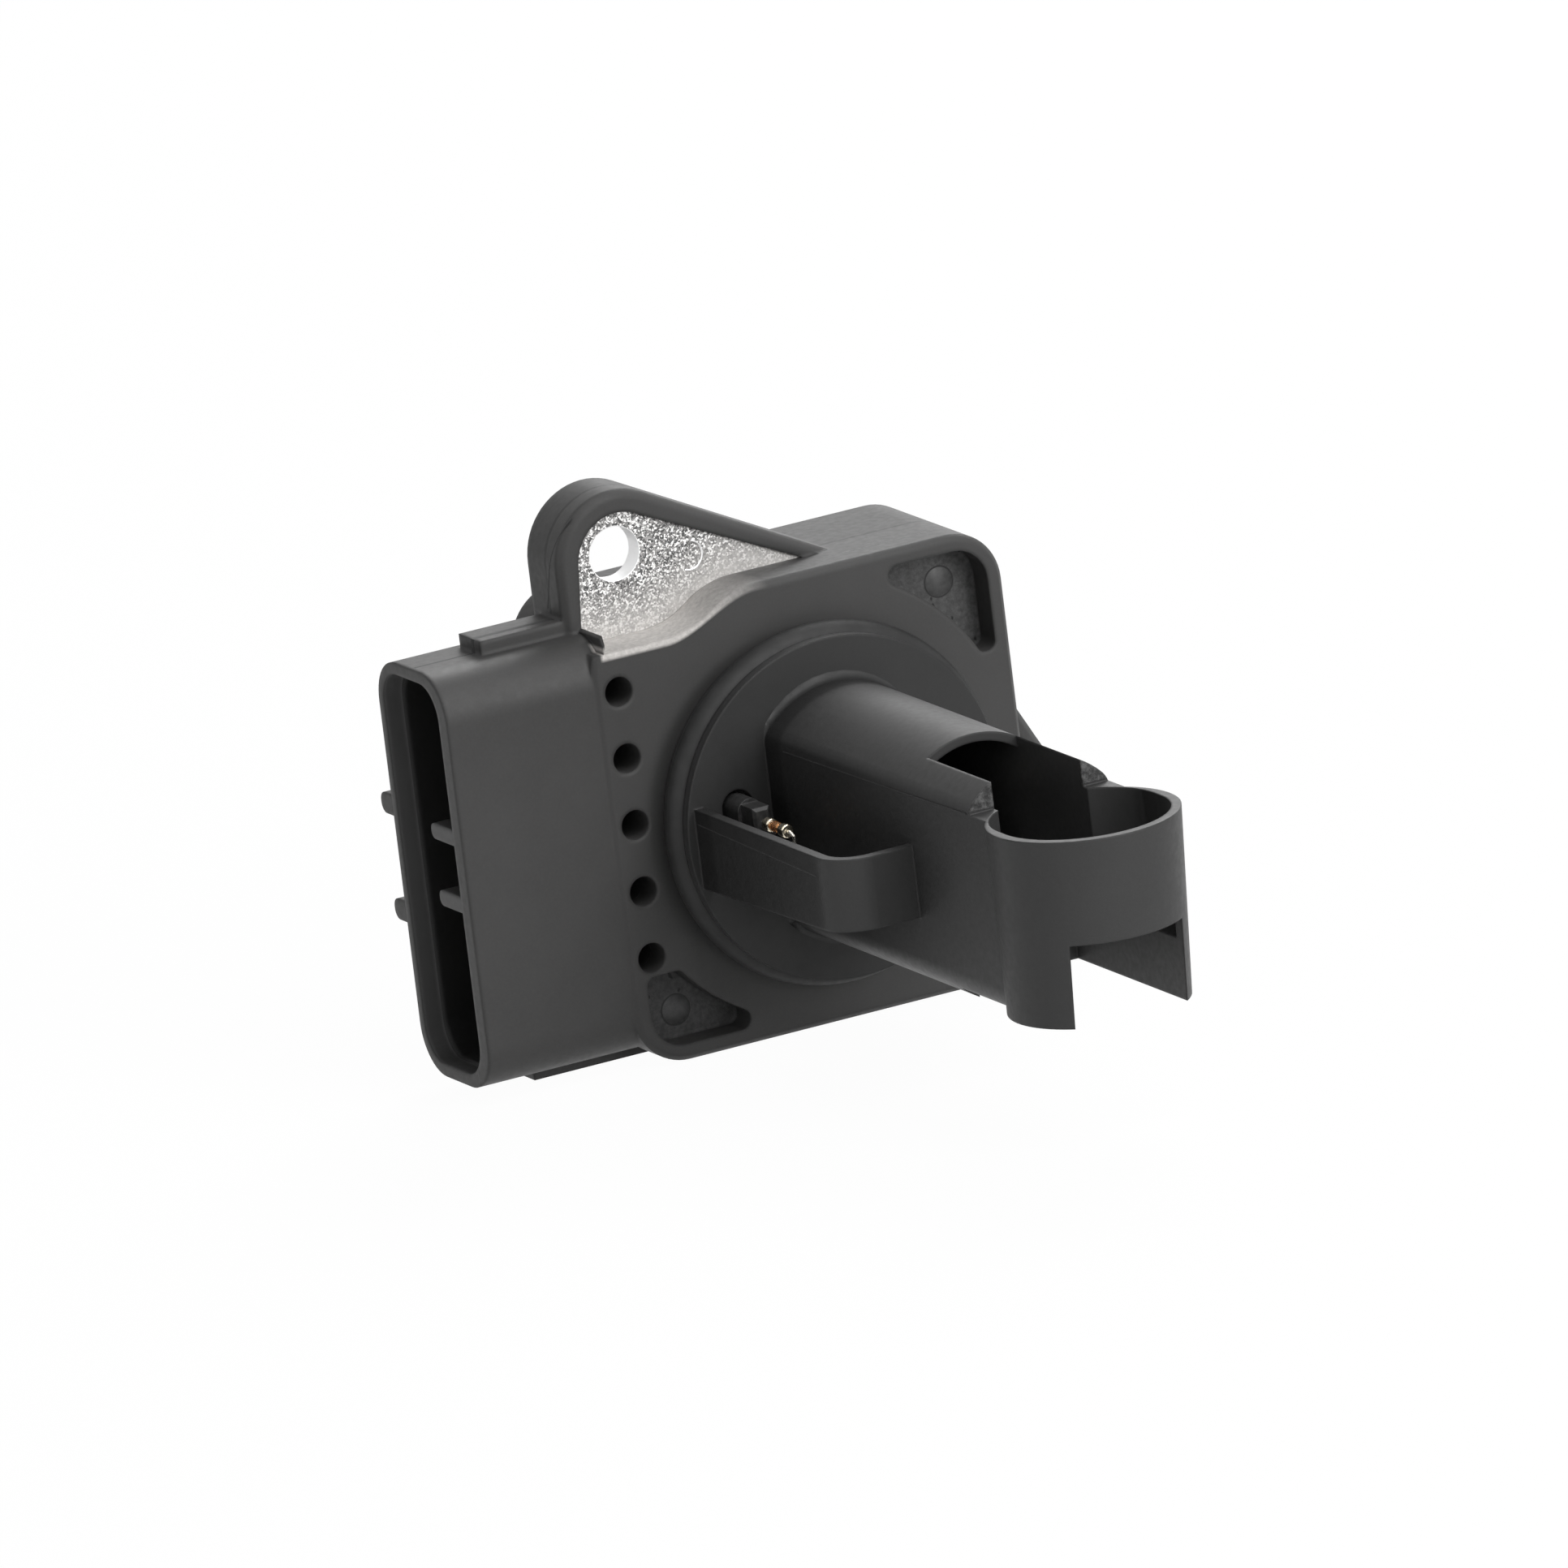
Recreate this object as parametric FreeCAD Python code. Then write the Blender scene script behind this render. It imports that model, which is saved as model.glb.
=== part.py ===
"""Mass airflow sensor that plugs into an air cleaner duct.

Millimetres, +Z up. The origin is on the axis of the round spigot, on the seating face of the
body. The probe points to -Y, into the duct. The body lies on the +Y side, and the connector
opens to -X. The two fixing ears stand on opposite corners of the body.
"""
import FreeCAD
import Part
import math
import os

from FreeCAD import Vector

os.makedirs("parts", exist_ok=True)

# Body: a rounded square box behind the seating face
BODY_HALF = 20.5
BODY_CORNER_R = 5.0
BODY_DEPTH = 16.4
BODY_EDGE_CHAMFER = 0.45
BODY_BACK_CHAMFER = 0.6
FRONT_WALL = 4.8
SIDE_WALL = 3.9
CAVITY_CORNER_R = 2.5
TERMINAL_WALL = 6.2

# Rear cover, let into a rebate in the back of the body
COVER_THICKNESS = 1.8
COVER_REBATE = 2.0
COVER_CLEARANCE = 0.1
COVER_CHAMFER = 0.4
SEAL_WIDTH = 0.9
SEAL_DEPTH = 0.5
SEAL_INSET = 0.5

# Metal mounting plate, moulded into the body, with one ear at each of two corners
PLATE_THICKNESS = 2.0
PLATE_EDGE_GRIP = 1.0
EAR_HOLE_INSET = 5.8
EAR_HOLE_RISE = 4.4
EAR_HOLE = (EAR_HOLE_INSET - BODY_HALF, BODY_HALF + EAR_HOLE_RISE)
EAR_HOLE_R = 2.45
EAR_ARC_SHIFT = (0.4, -0.5)
EAR_ARC_CENTRE = (EAR_HOLE[0] + EAR_ARC_SHIFT[0], EAR_HOLE[1] + EAR_ARC_SHIFT[1])
EAR_ARC_R = 6.2
EAR_FLANK_DEG = -28.0
METAL_FLANK_DEG = -25.8
EAR_RIM_LEFT = 1.3
EAR_RIM_FLANK = 2.0
EAR_RIM_PROUD = 0.4
EAR_RIM_CHAMFER = 0.6
EAR_DEPTH = 6.0
SCREW_SEAT_R = 4.6

# Step in the seating face that leaves each ear free
RECESS_STEP = 3.0
RECESS_LOW = BODY_HALF - RECESS_STEP
RECESS_TURN_START = -13.1
RECESS_TURN_END = -3.7

# Corner pockets that even out the wall of the front face
POCKET_DEPTH = 2.85
POCKET_ARC_INSET = 0.7
POCKET_ARC_R = BODY_HALF - POCKET_ARC_INSET
POCKET_RIM = 1.5
POCKET_REACH = 9.3
LOW_POCKET_SHORTER = 2.9
POCKET_END_ROUND_SHARE = 0.59
POCKET_CORNER_R = 3.2

# Terminals, and the blind holes that the moulding pins leave in front of them
TERMINAL_COUNT = 5
TERMINAL_PITCH = 6.1
TERMINAL_MIDDLE_Z = 1.7
PIN_HOLE_INSET = 2.3
PIN_HOLE_X = PIN_HOLE_INSET - BODY_HALF
PIN_HOLE_R = 1.36
PIN_HOLE_SKIN = 0.5
BLADE_WIDTH = 2.2
BLADE_THICKNESS = 0.64
BLADE_SHIFT = 0.9
BLADE_RIB_GAP = 0.15
BLADE_TIP_BACK = 4.5
BLADE_TIP_TAPER = 1.0
BLADE_STEP_BACK = 1.6
BLADE_STEP_RUN = 1.0
TAIL_LENGTH = 3.0

# Connector shroud
MOUTH_REACH = 14.5
MOUTH_X = -BODY_HALF - MOUTH_REACH
SHROUD_FRONT = 0.3
SHROUD_BACK = 13.6
SHROUD_TOP_STEP = 1.8
SHROUD_LOW_STEP = 1.2
SHROUD_TOP = BODY_HALF - SHROUD_TOP_STEP
SHROUD_BOTTOM = SHROUD_LOW_STEP - BODY_HALF
SHROUD_CORNER_R = 4.2
SHROUD_WALL_FRONT = 1.7
SHROUD_WALL_BACK = 0.9
SHROUD_WALL_ENDS = 1.1
MOUTH_DEPTH = 12.4
SHROUD_FLOOR_X = MOUTH_X + MOUTH_DEPTH
LEAD_IN = 0.45
LEAD_IN_DEPTH = 1.9
RIB_ROUNDING = 0.9
KEY_RIB_WIDTH = 1.45
KEY_RIB_HEIGHT = 5.1
KEY_RIB_BACK = 0.4
KEY_RIB_Z = (3.75, -2.4)
GUIDE_RAIL_Z = (4.7, -5.1)
GUIDE_RAIL_WIDTH = 1.95
GUIDE_RAIL_HEIGHT = 2.85
GUIDE_RAIL_LENGTH = 9.0
GUIDE_RAIL_BACK = 0.3
LOCK_WIDTH = 4.6
LOCK_HEIGHT = 1.8
LOCK_START = 3.2
LOCK_LENGTH = 4.5
LOCK_CREST = 0.8
END_BLOCK_REACH = 8.2
END_BLOCK_FRONT = 4.9
END_BLOCK_BACK = 9.0
TOP_BLOCK_HEIGHT = 1.3
LOW_BLOCK_HEIGHT = 0.95

# Spigot of the probe, with its seal
SPIGOT_R = 15.5
SPIGOT_LENGTH = 4.67
SPIGOT_LIP = 0.9
GROOVE_START = 0.7
GROOVE_R = 13.6
RING_SECTION_R = 1.4
RING_SECTION_SIDES = 8
NECK_HALF = 11.0
NECK_CORNER_R = 2.0
NECK_CLEARANCE = 0.05

# Stem of the probe
STEM_HALF_WIDTH = 7.0
DOME_R = 8.83
DOME_CENTRE = 2.8
DOME_BLEND_R = 2.4
PASSAGE_HALF_WIDTH = 4.4
PASSAGE_DOME_R = 7.57
PASSAGE_DOME_CENTRE = 3.25
PASSAGE_ROOT = 11.0
TOP_OPENING = 31.4
BOTTOM_OPENING = 28.5
LEFT_WALL_FOOT = 36.0
RIGHT_WALL_FOOT = 33.0
SEPTUM_THICKNESS = 1.4
SEPTUM_START = 17.0
SEPTUM_END = 30.0

# Sleeve at the end of the stem
SLEEVE_CENTRE = 51.5
SLEEVE_R = 8.6
SLEEVE_WALL = 0.9
SLEEVE_TOP = 8.0
SLEEVE_LOWER_RIM = -1.6
SLEEVE_TAPER_BACK = 1.2
SLEEVE_TAPER_R = 0.5
WALL_END = 43.3
LEG_BOTTOM = -9.25
LEG_HALF_GAP = 5.55
LEG_WINDOW_START = 36.0

# Guard strap beside the stem
GUARD_X = -14.6
GUARD_THICKNESS = 0.95
GUARD_TOP = 3.1
GUARD_BOTTOM = -4.1
GUARD_BOTTOM_RISE = 0.65
GUARD_END = 31.6
GUARD_CORNER_R = 3.6

# Air temperature element behind the guard strap
HOLDER_X = -10.3
HOLDER_HALF_WIDTH = 1.2
HOLDER_TOP = 3.6
HOLDER_BOTTOM = -3.4
HOLDER_LENGTH = 2.3
HOLDER_SEAT = 2.4
SLOT_CLEARANCE = 0.35
NOSE_HALF_WIDTH = 0.85
NOSE_INSET = 0.4
NOSE_LENGTH = 2.4
BEAD_R = 0.5
BEAD_LENGTH = 3.9
BEAD_GAP = 0.8
BEAD_COLLAR_R = 0.62
BEAD_COLLAR_LENGTH = 1.0
LEAD_R = 0.18
LEAD_SIDES = 6
LEAD_SPREAD = 2.0
BEAD_Z = 1.9
LEAD_TURN_GAP = 0.3

# Hot element and compensating element inside the passage
ELEMENT_DEPTH = 25.0
ELEMENT_R = 0.7
ELEMENT_SPAN = 4.4
ELEMENT_Z = (5.4, -4.6)
SUPPORT_PIN_HALF = 0.4
SUPPORT_PIN_TAIL = 1.6

# Circuit
BOARD_THICKNESS = 0.9
BOARD_GAP = 2.0
BOARD_TERMINAL_GAP = 0.5
BOARD_CORNER_R = 1.0
BOARD_SLOT_MARGIN = 1.4

# Parts on the board: width, height and thickness of each, and their places
CONTROL_CHIP = (6.0, 6.0, 1.2)
POWER_TRANSISTOR = (5.0, 6.5, 1.6)
MEMORY_CHIP = (4.0, 3.0, 1.0)
CAPACITOR = (2.0, 1.25, 1.0)
RESISTOR = (1.6, 0.8, 0.5)
CHIP_COLUMN_INSET = 5.6
CONTROL_CHIP_Z = 4.0
MEMORY_CHIP_DROP = 3.4
SMALL_COLUMN_INSET = 3.5
CAPACITOR_DROP = 2.0
CAPACITOR_COUNT = 2
CAPACITOR_PITCH = 2.6
RESISTOR_COUNT = 3
RESISTOR_PITCH = 2.2

# How far shapes that are joined or cut run into or past each other
OVERLAP = 0.5
PAST = 1.0
FAR = 200.0
TOUCH = 1e-3


def block(x_range, y_range, z_range):
    """A box between two corners."""
    x0, x1 = x_range
    y0, y1 = y_range
    z0, z1 = z_range
    return Part.makeBox(x1 - x0, y1 - y0, z1 - z0, Vector(x0, y0, z0))


def disc(x, z, radius, y0, y1):
    """A cylinder along Y from y0 to y1."""
    return Part.makeCylinder(radius, y1 - y0, Vector(x, y0, z), Vector(0, 1, 0))


def post(x, y, radius, z0, z1):
    """A cylinder along Z from z0 to z1."""
    return Part.makeCylinder(radius, z1 - z0, Vector(x, y, z0), Vector(0, 0, 1))


def prism(edges, y0, y1):
    """Extrudes a closed outline, drawn at y=0, from y0 to y1."""
    face = Part.Face(Part.Wire(Part.__sortEdges__(edges)))
    face.translate(Vector(0, y0, 0))
    return face.extrude(Vector(0, y1 - y0, 0))


def line(start, end):
    """A straight edge between two (x, z) points."""
    return Part.makeLine(Vector(start[0], 0, start[1]), Vector(end[0], 0, end[1]))


def arc(start, through, end):
    """An arc through three (x, z) points."""
    points = [Vector(p[0], 0, p[1]) for p in (start, through, end)]
    return Part.Arc(*points).toShape()


def on_circle(centre, radius, degrees):
    """The point of a circle at an angle from +X towards +Z."""
    angle = math.radians(degrees)
    return (centre[0] + radius * math.cos(angle), centre[1] + radius * math.sin(angle))


def fillet_where(shape, radius, wanted):
    """Rounds the edges that the test picks."""
    edges = [edge for edge in shape.Edges if wanted(edge)]
    return shape.makeFillet(radius, edges)


def chamfer_where(shape, size, wanted):
    """Bevels the edges that the test picks."""
    edges = [edge for edge in shape.Edges if wanted(edge)]
    return shape.makeChamfer(size, edges)


def along_y(edge):
    """Whether an edge is straight and runs along Y."""
    if not isinstance(edge.Curve, Part.Line):
        return False
    direction = edge.Curve.Direction
    return abs(abs(direction.y) - 1) < 1e-6


def rounded_block(x_range, y_range, z_range, corner):
    """A box with its four edges along Y rounded."""
    return fillet_where(block(x_range, y_range, z_range), corner, along_y)


def swapped(shape):
    """The mirror image that exchanges X and Z, which turns one ear into the other."""
    return shape.mirror(Vector(0, 0, 0), Vector(1, 0, -1).normalize())


def join(shapes):
    """One solid from several that meet."""
    whole = shapes[0].fuse(shapes[1:]) if len(shapes) > 1 else shapes[0]
    return whole.removeSplitter()


def save(node, shape):
    """Writes one node's solids and prints what they are."""
    solids = shape.Solids
    out = solids[0] if len(solids) == 1 else Part.makeCompound(solids)
    if not out.isValid():
        raise ValueError(node + " is not valid")
    out.exportStep("parts/" + node + ".step")
    print(node, len(solids), "solid(s),", round(out.Volume, 2), "mm3")


# Ears


def ear_outline(radius, left_x, flank_deg, y0, y1, low_z):
    """A teardrop: a round tip, a straight left side and a flank that slopes down to low_z."""
    centre = EAR_ARC_CENTRE
    normal_deg = 90 + flank_deg
    flank_start = on_circle(centre, radius, normal_deg)
    fall = flank_start[1] - low_z
    flank_end = (flank_start[0] - fall / math.tan(math.radians(flank_deg)), low_z)
    side_deg = 180 - math.degrees(math.acos(min(1.0, (centre[0] - left_x) / radius)))
    side_start = on_circle(centre, radius, side_deg)
    middle = on_circle(centre, radius, (side_deg + normal_deg) / 2)
    edges = [arc(side_start, middle, flank_start),
             line(flank_start, flank_end),
             line(flank_end, (left_x, low_z)),
             line((left_x, low_z), side_start)]
    return prism(edges, y0, y1)


def ear_shell(y0, y1):
    """The outside of the upper ear down into the body."""
    low_z = BODY_HALF - BODY_CORNER_R
    shape = ear_outline(EAR_ARC_R, -BODY_HALF, EAR_FLANK_DEG, y0, y1, low_z)
    right_part = block((BODY_CORNER_R + PAST, FAR), (-FAR, FAR), (-FAR, BODY_HALF - PAST))
    return shape.cut(right_part)


def ear_inside(y0, y1, low_z):
    """The outline of the bare metal, inside the rim of the ear."""
    left_x = EAR_RIM_LEFT - BODY_HALF
    return ear_outline(EAR_ARC_R - EAR_RIM_FLANK, left_x, METAL_FLANK_DEG, y0, y1, low_z)


def recess_floor_line():
    """The S-shaped lower edge of the recess, two equal arcs, as an outline closed far below."""
    x0, x1 = RECESS_TURN_START, RECESS_TURN_END
    z0, z1 = RECESS_LOW, BODY_HALF
    run, rise = x1 - x0, z1 - z0
    radius = (run ** 2 + rise ** 2) / (4 * rise)
    turn = math.degrees(2 * math.atan2(rise, run))
    low_centre = (x0, z0 + radius)
    high_centre = (x1, z1 - radius)
    middle = on_circle(low_centre, radius, turn - 90)
    low_arc = arc((x0, z0), on_circle(low_centre, radius, turn / 2 - 90), middle)
    high_arc = arc(middle, on_circle(high_centre, radius, turn / 2 + 90), (x1, z1))
    return [line((-FAR, z0), (x0, z0)), low_arc, high_arc, line((x1, z1), (FAR, z1)),
            line((FAR, z1), (FAR, -FAR)), line((FAR, -FAR), (-FAR, -FAR)),
            line((-FAR, -FAR), (-FAR, z0))]


def recess():
    """What the seating face gives up so that the metal of the upper ear lies free."""
    open_part = ear_inside(-PAST, FRONT_WALL, RECESS_LOW - PAST)
    return open_part.cut(prism(recess_floor_line(), -2 * PAST, FRONT_WALL + PAST))


def corner_relief():
    """The sliver of the body's corner that would stand in front of the upper ear's rim."""
    return block((-BODY_HALF - PAST, EAR_RIM_LEFT - BODY_HALF),
                 (-PAST, FRONT_WALL - EAR_RIM_PROUD), (RECESS_LOW, BODY_HALF + PAST))


def metal_ear():
    """The upper ear of the mounting plate, with its hole."""
    y0, y1 = FRONT_WALL, FRONT_WALL + PLATE_THICKNESS
    shape = ear_inside(y0, y1, BODY_HALF - SIDE_WALL - PLATE_EDGE_GRIP)
    trim = block((BODY_CORNER_R, FAR), (-FAR, FAR), (-FAR, FAR))
    return shape.cut(trim)


def mounting_plate():
    """Metal plate across the body, from ear to ear, with a window for the probe's neck."""
    y0, y1 = FRONT_WALL, FRONT_WALL + PLATE_THICKNESS
    edge = BODY_HALF - SIDE_WALL + PLATE_EDGE_GRIP
    left = TERMINAL_WALL - BODY_HALF - PLATE_EDGE_GRIP
    middle = rounded_block((left, edge), (y0, y1), (-edge, edge), CAVITY_CORNER_R)
    ear = metal_ear()
    shape = join([middle, ear, swapped(ear)])
    shape = shape.cut(neck(NECK_CLEARANCE, y0 - 1, y1 + 1))
    hole = disc(EAR_HOLE[0], EAR_HOLE[1], EAR_HOLE_R, y0 - 1, y1 + 1)
    return shape.cut([hole, swapped(hole)])


def neck(grow, y0, y1):
    """The square root of the probe, or with a clearance the room for it."""
    half = NECK_HALF + grow
    return rounded_block((-half, half), (y0, y1), (-half, half), NECK_CORNER_R + grow)


# Body moulding


def corner_pocket(x_sign):
    """The pocket in the upper right corner, or in the lower left one."""
    outer = BODY_HALF - POCKET_RIM
    side = rounded_block((0, outer), (-1.0, POCKET_DEPTH), (0, outer), POCKET_CORNER_R)
    side = side.cut(disc(0, 0, POCKET_ARC_R, -2.0, POCKET_DEPTH + 1))
    low = POCKET_REACH
    if x_sign < 0:
        low = POCKET_REACH + LOW_POCKET_SHORTER
    side = side.common(block((POCKET_REACH, FAR), (-FAR, FAR), (low, FAR)))
    end_width = outer - math.sqrt(POCKET_ARC_R ** 2 - POCKET_REACH ** 2)
    side = fillet_where(side, end_width * POCKET_END_ROUND_SHARE,
                        lambda e: along_y(e) and at_pocket_end(e, low))
    if x_sign > 0:
        return side
    turned = side.copy()
    turned.rotate(Vector(0, 0, 0), Vector(0, 1, 0), 180)
    return turned


def at_pocket_end(edge, low):
    """Whether an edge is at one of the two straight ends of a pocket."""
    box = edge.BoundBox
    return abs(box.XMin - POCKET_REACH) < TOUCH or abs(box.ZMin - low) < TOUCH


def terminal_heights():
    """Height of each terminal, from the lowest to the highest."""
    first = TERMINAL_MIDDLE_Z - TERMINAL_PITCH * (TERMINAL_COUNT - 1) / 2
    return [first + TERMINAL_PITCH * i for i in range(TERMINAL_COUNT)]


def shroud_outside():
    """The closed block of the connector, before its mouth is hollowed out."""
    return fillet_where(block((MOUTH_X, BODY_CORNER_R - BODY_HALF), (SHROUD_FRONT, SHROUD_BACK),
                              (SHROUD_BOTTOM, SHROUD_TOP)),
                        SHROUD_CORNER_R, along_x)


def along_x(edge):
    """Whether an edge is straight and runs along X."""
    if not isinstance(edge.Curve, Part.Line):
        return False
    return abs(abs(edge.Curve.Direction.x) - 1) < 1e-6


def shroud_mouth():
    """The hollow of the connector with the wider lead-in at its mouth."""
    y0 = SHROUD_FRONT + SHROUD_WALL_FRONT
    y1 = SHROUD_BACK - SHROUD_WALL_BACK
    z0 = SHROUD_BOTTOM + SHROUD_WALL_ENDS
    z1 = SHROUD_TOP - SHROUD_WALL_ENDS
    corner = SHROUD_CORNER_R - SHROUD_WALL_ENDS
    deep = fillet_where(block((MOUTH_X - 1, SHROUD_FLOOR_X),
                              (y0 + LEAD_IN, y1 - LEAD_IN / 2),
                              (z0 + LEAD_IN / 2, z1 - LEAD_IN / 2)), corner, along_x)
    lead = fillet_where(block((MOUTH_X - 1, MOUTH_X + LEAD_IN_DEPTH), (y0, y1), (z0, z1)),
                        corner, along_x)
    return join([deep, lead])


def key_ribs():
    """The ribs on the near inner wall that fit grooves of the plug."""
    y0 = SHROUD_FRONT + SHROUD_WALL_FRONT / 2
    y1 = SHROUD_FRONT + SHROUD_WALL_FRONT + KEY_RIB_HEIGHT
    half = KEY_RIB_WIDTH / 2
    ribs = []
    for z in KEY_RIB_Z:
        rib = block((MOUTH_X + KEY_RIB_BACK, SHROUD_FLOOR_X + 1), (y0, y1), (z - half, z + half))
        ribs.append(fillet_where(rib, half * RIB_ROUNDING,
                                 lambda e: along_x(e) and e.BoundBox.YMin > y1 - 0.01))
    return ribs


def guide_rails():
    """The two rails on the far outer wall of the connector."""
    y0 = SHROUD_BACK - SHROUD_WALL_BACK / 2
    y1 = SHROUD_BACK + GUIDE_RAIL_HEIGHT
    half = GUIDE_RAIL_WIDTH / 2
    x0 = MOUTH_X + GUIDE_RAIL_BACK
    rails = []
    for z in GUIDE_RAIL_Z:
        rail = block((x0, x0 + GUIDE_RAIL_LENGTH), (y0, y1), (z - half, z + half))
        rails.append(fillet_where(rail, half * RIB_ROUNDING,
                                  lambda e: along_x(e) and e.BoundBox.YMin > y1 - 0.01))
    return rails


def lock_ramp():
    """The ramp between the rails that the plug's latch snaps over."""
    z_middle = (GUIDE_RAIL_Z[0] + GUIDE_RAIL_Z[1]) / 2
    x0 = MOUTH_X + LOCK_START
    x1 = x0 + LOCK_LENGTH
    y0 = SHROUD_BACK - SHROUD_WALL_BACK / 2
    y1 = SHROUD_BACK + LOCK_HEIGHT
    z0 = z_middle - LOCK_WIDTH / 2
    corners = [Vector(x0, y0, z0), Vector(x0, SHROUD_BACK, z0), Vector(x1 - LOCK_CREST, y1, z0),
               Vector(x1, y1, z0), Vector(x1, y0, z0), Vector(x0, y0, z0)]
    return Part.Face(Part.makePolygon(corners)).extrude(Vector(0, 0, LOCK_WIDTH))


def end_blocks():
    """The low blocks on the top and bottom of the connector."""
    x_range = (-BODY_HALF - END_BLOCK_REACH, BODY_CORNER_R - BODY_HALF)
    y_range = (END_BLOCK_FRONT, END_BLOCK_BACK)
    top = block(x_range, y_range, (SHROUD_TOP - OVERLAP, SHROUD_TOP + TOP_BLOCK_HEIGHT))
    low = block(x_range, y_range, (SHROUD_BOTTOM - LOW_BLOCK_HEIGHT, SHROUD_BOTTOM + OVERLAP))
    return [top, low]


def plastic_ear():
    """The plastic frame round the metal of the upper ear, with the screw's seat open behind."""
    y0 = FRONT_WALL - EAR_RIM_PROUD
    y1 = FRONT_WALL - EAR_RIM_PROUD + EAR_DEPTH
    shape = ear_shell(y0, y1)
    shape = chamfer_where(shape, EAR_RIM_CHAMFER, lambda e: outer_front_edge(e, y0))
    metal_back = FRONT_WALL + PLATE_THICKNESS
    return shape.cut(disc(EAR_HOLE[0], EAR_HOLE[1], SCREW_SEAT_R, metal_back, y1 + 1))


def outer_front_edge(edge, y_front):
    """Whether an edge is on the front outline of the ear, outside the body."""
    box = edge.BoundBox
    flat = abs(box.YMin - y_front) < 1e-6 and abs(box.YMax - y_front) < 1e-6
    return flat and box.ZMax > BODY_HALF


def housing():
    """The body with its connector, ears, pockets and blind holes, as one moulding."""
    half = BODY_HALF
    body = rounded_block((-half, half), (0, BODY_DEPTH), (-half, half), BODY_CORNER_R)
    body = chamfer_where(body, BODY_EDGE_CHAMFER, lambda e: e.BoundBox.YMax < 1e-6)
    body = chamfer_where(body, BODY_BACK_CHAMFER,
                         lambda e: e.BoundBox.YMin > BODY_DEPTH - 1e-6)
    relief = corner_relief()
    body = body.cut([relief, swapped(relief)])
    ear = plastic_ear()
    outside = join([body, shroud_outside(), ear, swapped(ear)] + end_blocks())
    opening = recess()
    outside = outside.cut([opening, swapped(opening)])
    outside = outside.cut([corner_pocket(1), corner_pocket(-1)])
    for z in terminal_heights():
        blade_front = blade_y() - BLADE_THICKNESS / 2
        outside = outside.cut(disc(PIN_HOLE_X, z, PIN_HOLE_R, -1.0, blade_front - PIN_HOLE_SKIN))
    outside = outside.cut(shroud_mouth())
    outside = join([outside] + key_ribs() + guide_rails() + [lock_ramp()])
    outside = outside.cut([cavity(), cover_rebate(), cover_seal()])
    outside = outside.cut([mounting_plate_space(), neck(NECK_CLEARANCE, -1.0, FRONT_WALL + 1)])
    for z in terminal_heights():
        outside = outside.cut(terminal(z))
    return outside


def mounting_plate_space():
    """The room that the metal plate takes in the moulding, its holes included."""
    shape = mounting_plate()
    y0, y1 = FRONT_WALL, FRONT_WALL + PLATE_THICKNESS
    hole = disc(EAR_HOLE[0], EAR_HOLE[1], EAR_HOLE_R, y0, y1)
    return shape.fuse([hole, swapped(hole), neck(NECK_CLEARANCE, y0, y1)])


def cavity():
    """The room for the circuit behind the mounting plate."""
    edge = BODY_HALF - SIDE_WALL
    y0 = FRONT_WALL + PLATE_THICKNESS
    left = TERMINAL_WALL - BODY_HALF
    return rounded_block((left, edge), (y0, BODY_DEPTH + 1), (-edge, edge), CAVITY_CORNER_R)


def cover_rebate():
    """The step that the rear cover lies in."""
    edge = BODY_HALF - COVER_REBATE
    corner = BODY_CORNER_R - COVER_REBATE
    return rounded_block((-edge, edge), (BODY_DEPTH - COVER_THICKNESS, BODY_DEPTH + 1),
                         (-edge, edge), corner)


def cover_seal():
    """The bead of sealant between the cover and the ledge round the circuit."""
    y1 = BODY_DEPTH - COVER_THICKNESS
    outer = BODY_HALF - SIDE_WALL + SEAL_INSET + SEAL_WIDTH
    inner = outer - SEAL_WIDTH
    left = TERMINAL_WALL - BODY_HALF - SEAL_INSET
    ring = rounded_block((left - SEAL_WIDTH, outer), (y1 - SEAL_DEPTH, y1), (-outer, outer),
                         CAVITY_CORNER_R + SEAL_WIDTH)
    return ring.cut(rounded_block((left, inner), (y1 - SEAL_DEPTH - 1, y1 + 1), (-inner, inner),
                                  CAVITY_CORNER_R))


def rear_cover():
    """The lid over the circuit."""
    edge = BODY_HALF - COVER_REBATE - COVER_CLEARANCE
    corner = BODY_CORNER_R - COVER_REBATE
    lid = rounded_block((-edge, edge), (BODY_DEPTH - COVER_THICKNESS, BODY_DEPTH),
                        (-edge, edge), corner)
    return chamfer_where(lid, COVER_CHAMFER, lambda e: e.BoundBox.YMin > BODY_DEPTH - 1e-6)


# Terminals


def blade_y():
    """Depth of the blades' middle plane in the connector, just behind the key ribs."""
    rib_tip = SHROUD_FRONT + SHROUD_WALL_FRONT + KEY_RIB_HEIGHT
    return rib_tip + BLADE_RIB_GAP + BLADE_THICKNESS / 2


def terminal(z):
    """One blade, its step inside the wall and its tail in the cavity."""
    half = BLADE_THICKNESS / 2
    front, back = blade_y() - half, blade_y() + half
    tip = MOUTH_X + BLADE_TIP_BACK
    taper = tip + BLADE_TIP_TAPER
    nose = BLADE_THICKNESS / 3
    step = TERMINAL_WALL - BODY_HALF - BLADE_STEP_BACK
    shifted = step + BLADE_STEP_RUN
    end = TERMINAL_WALL - BODY_HALF + TAIL_LENGTH
    side = [(tip, front + nose), (taper, front), (step, front),
            (shifted, front + BLADE_SHIFT), (end, front + BLADE_SHIFT),
            (end, back + BLADE_SHIFT), (shifted, back + BLADE_SHIFT), (step, back),
            (taper, back), (tip, back - nose), (tip, front + nose)]
    outline = Part.makePolygon([Vector(x, y, z - BLADE_WIDTH / 2) for x, y in side])
    return Part.Face(outline).extrude(Vector(0, 0, BLADE_WIDTH))


# Probe moulding


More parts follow.
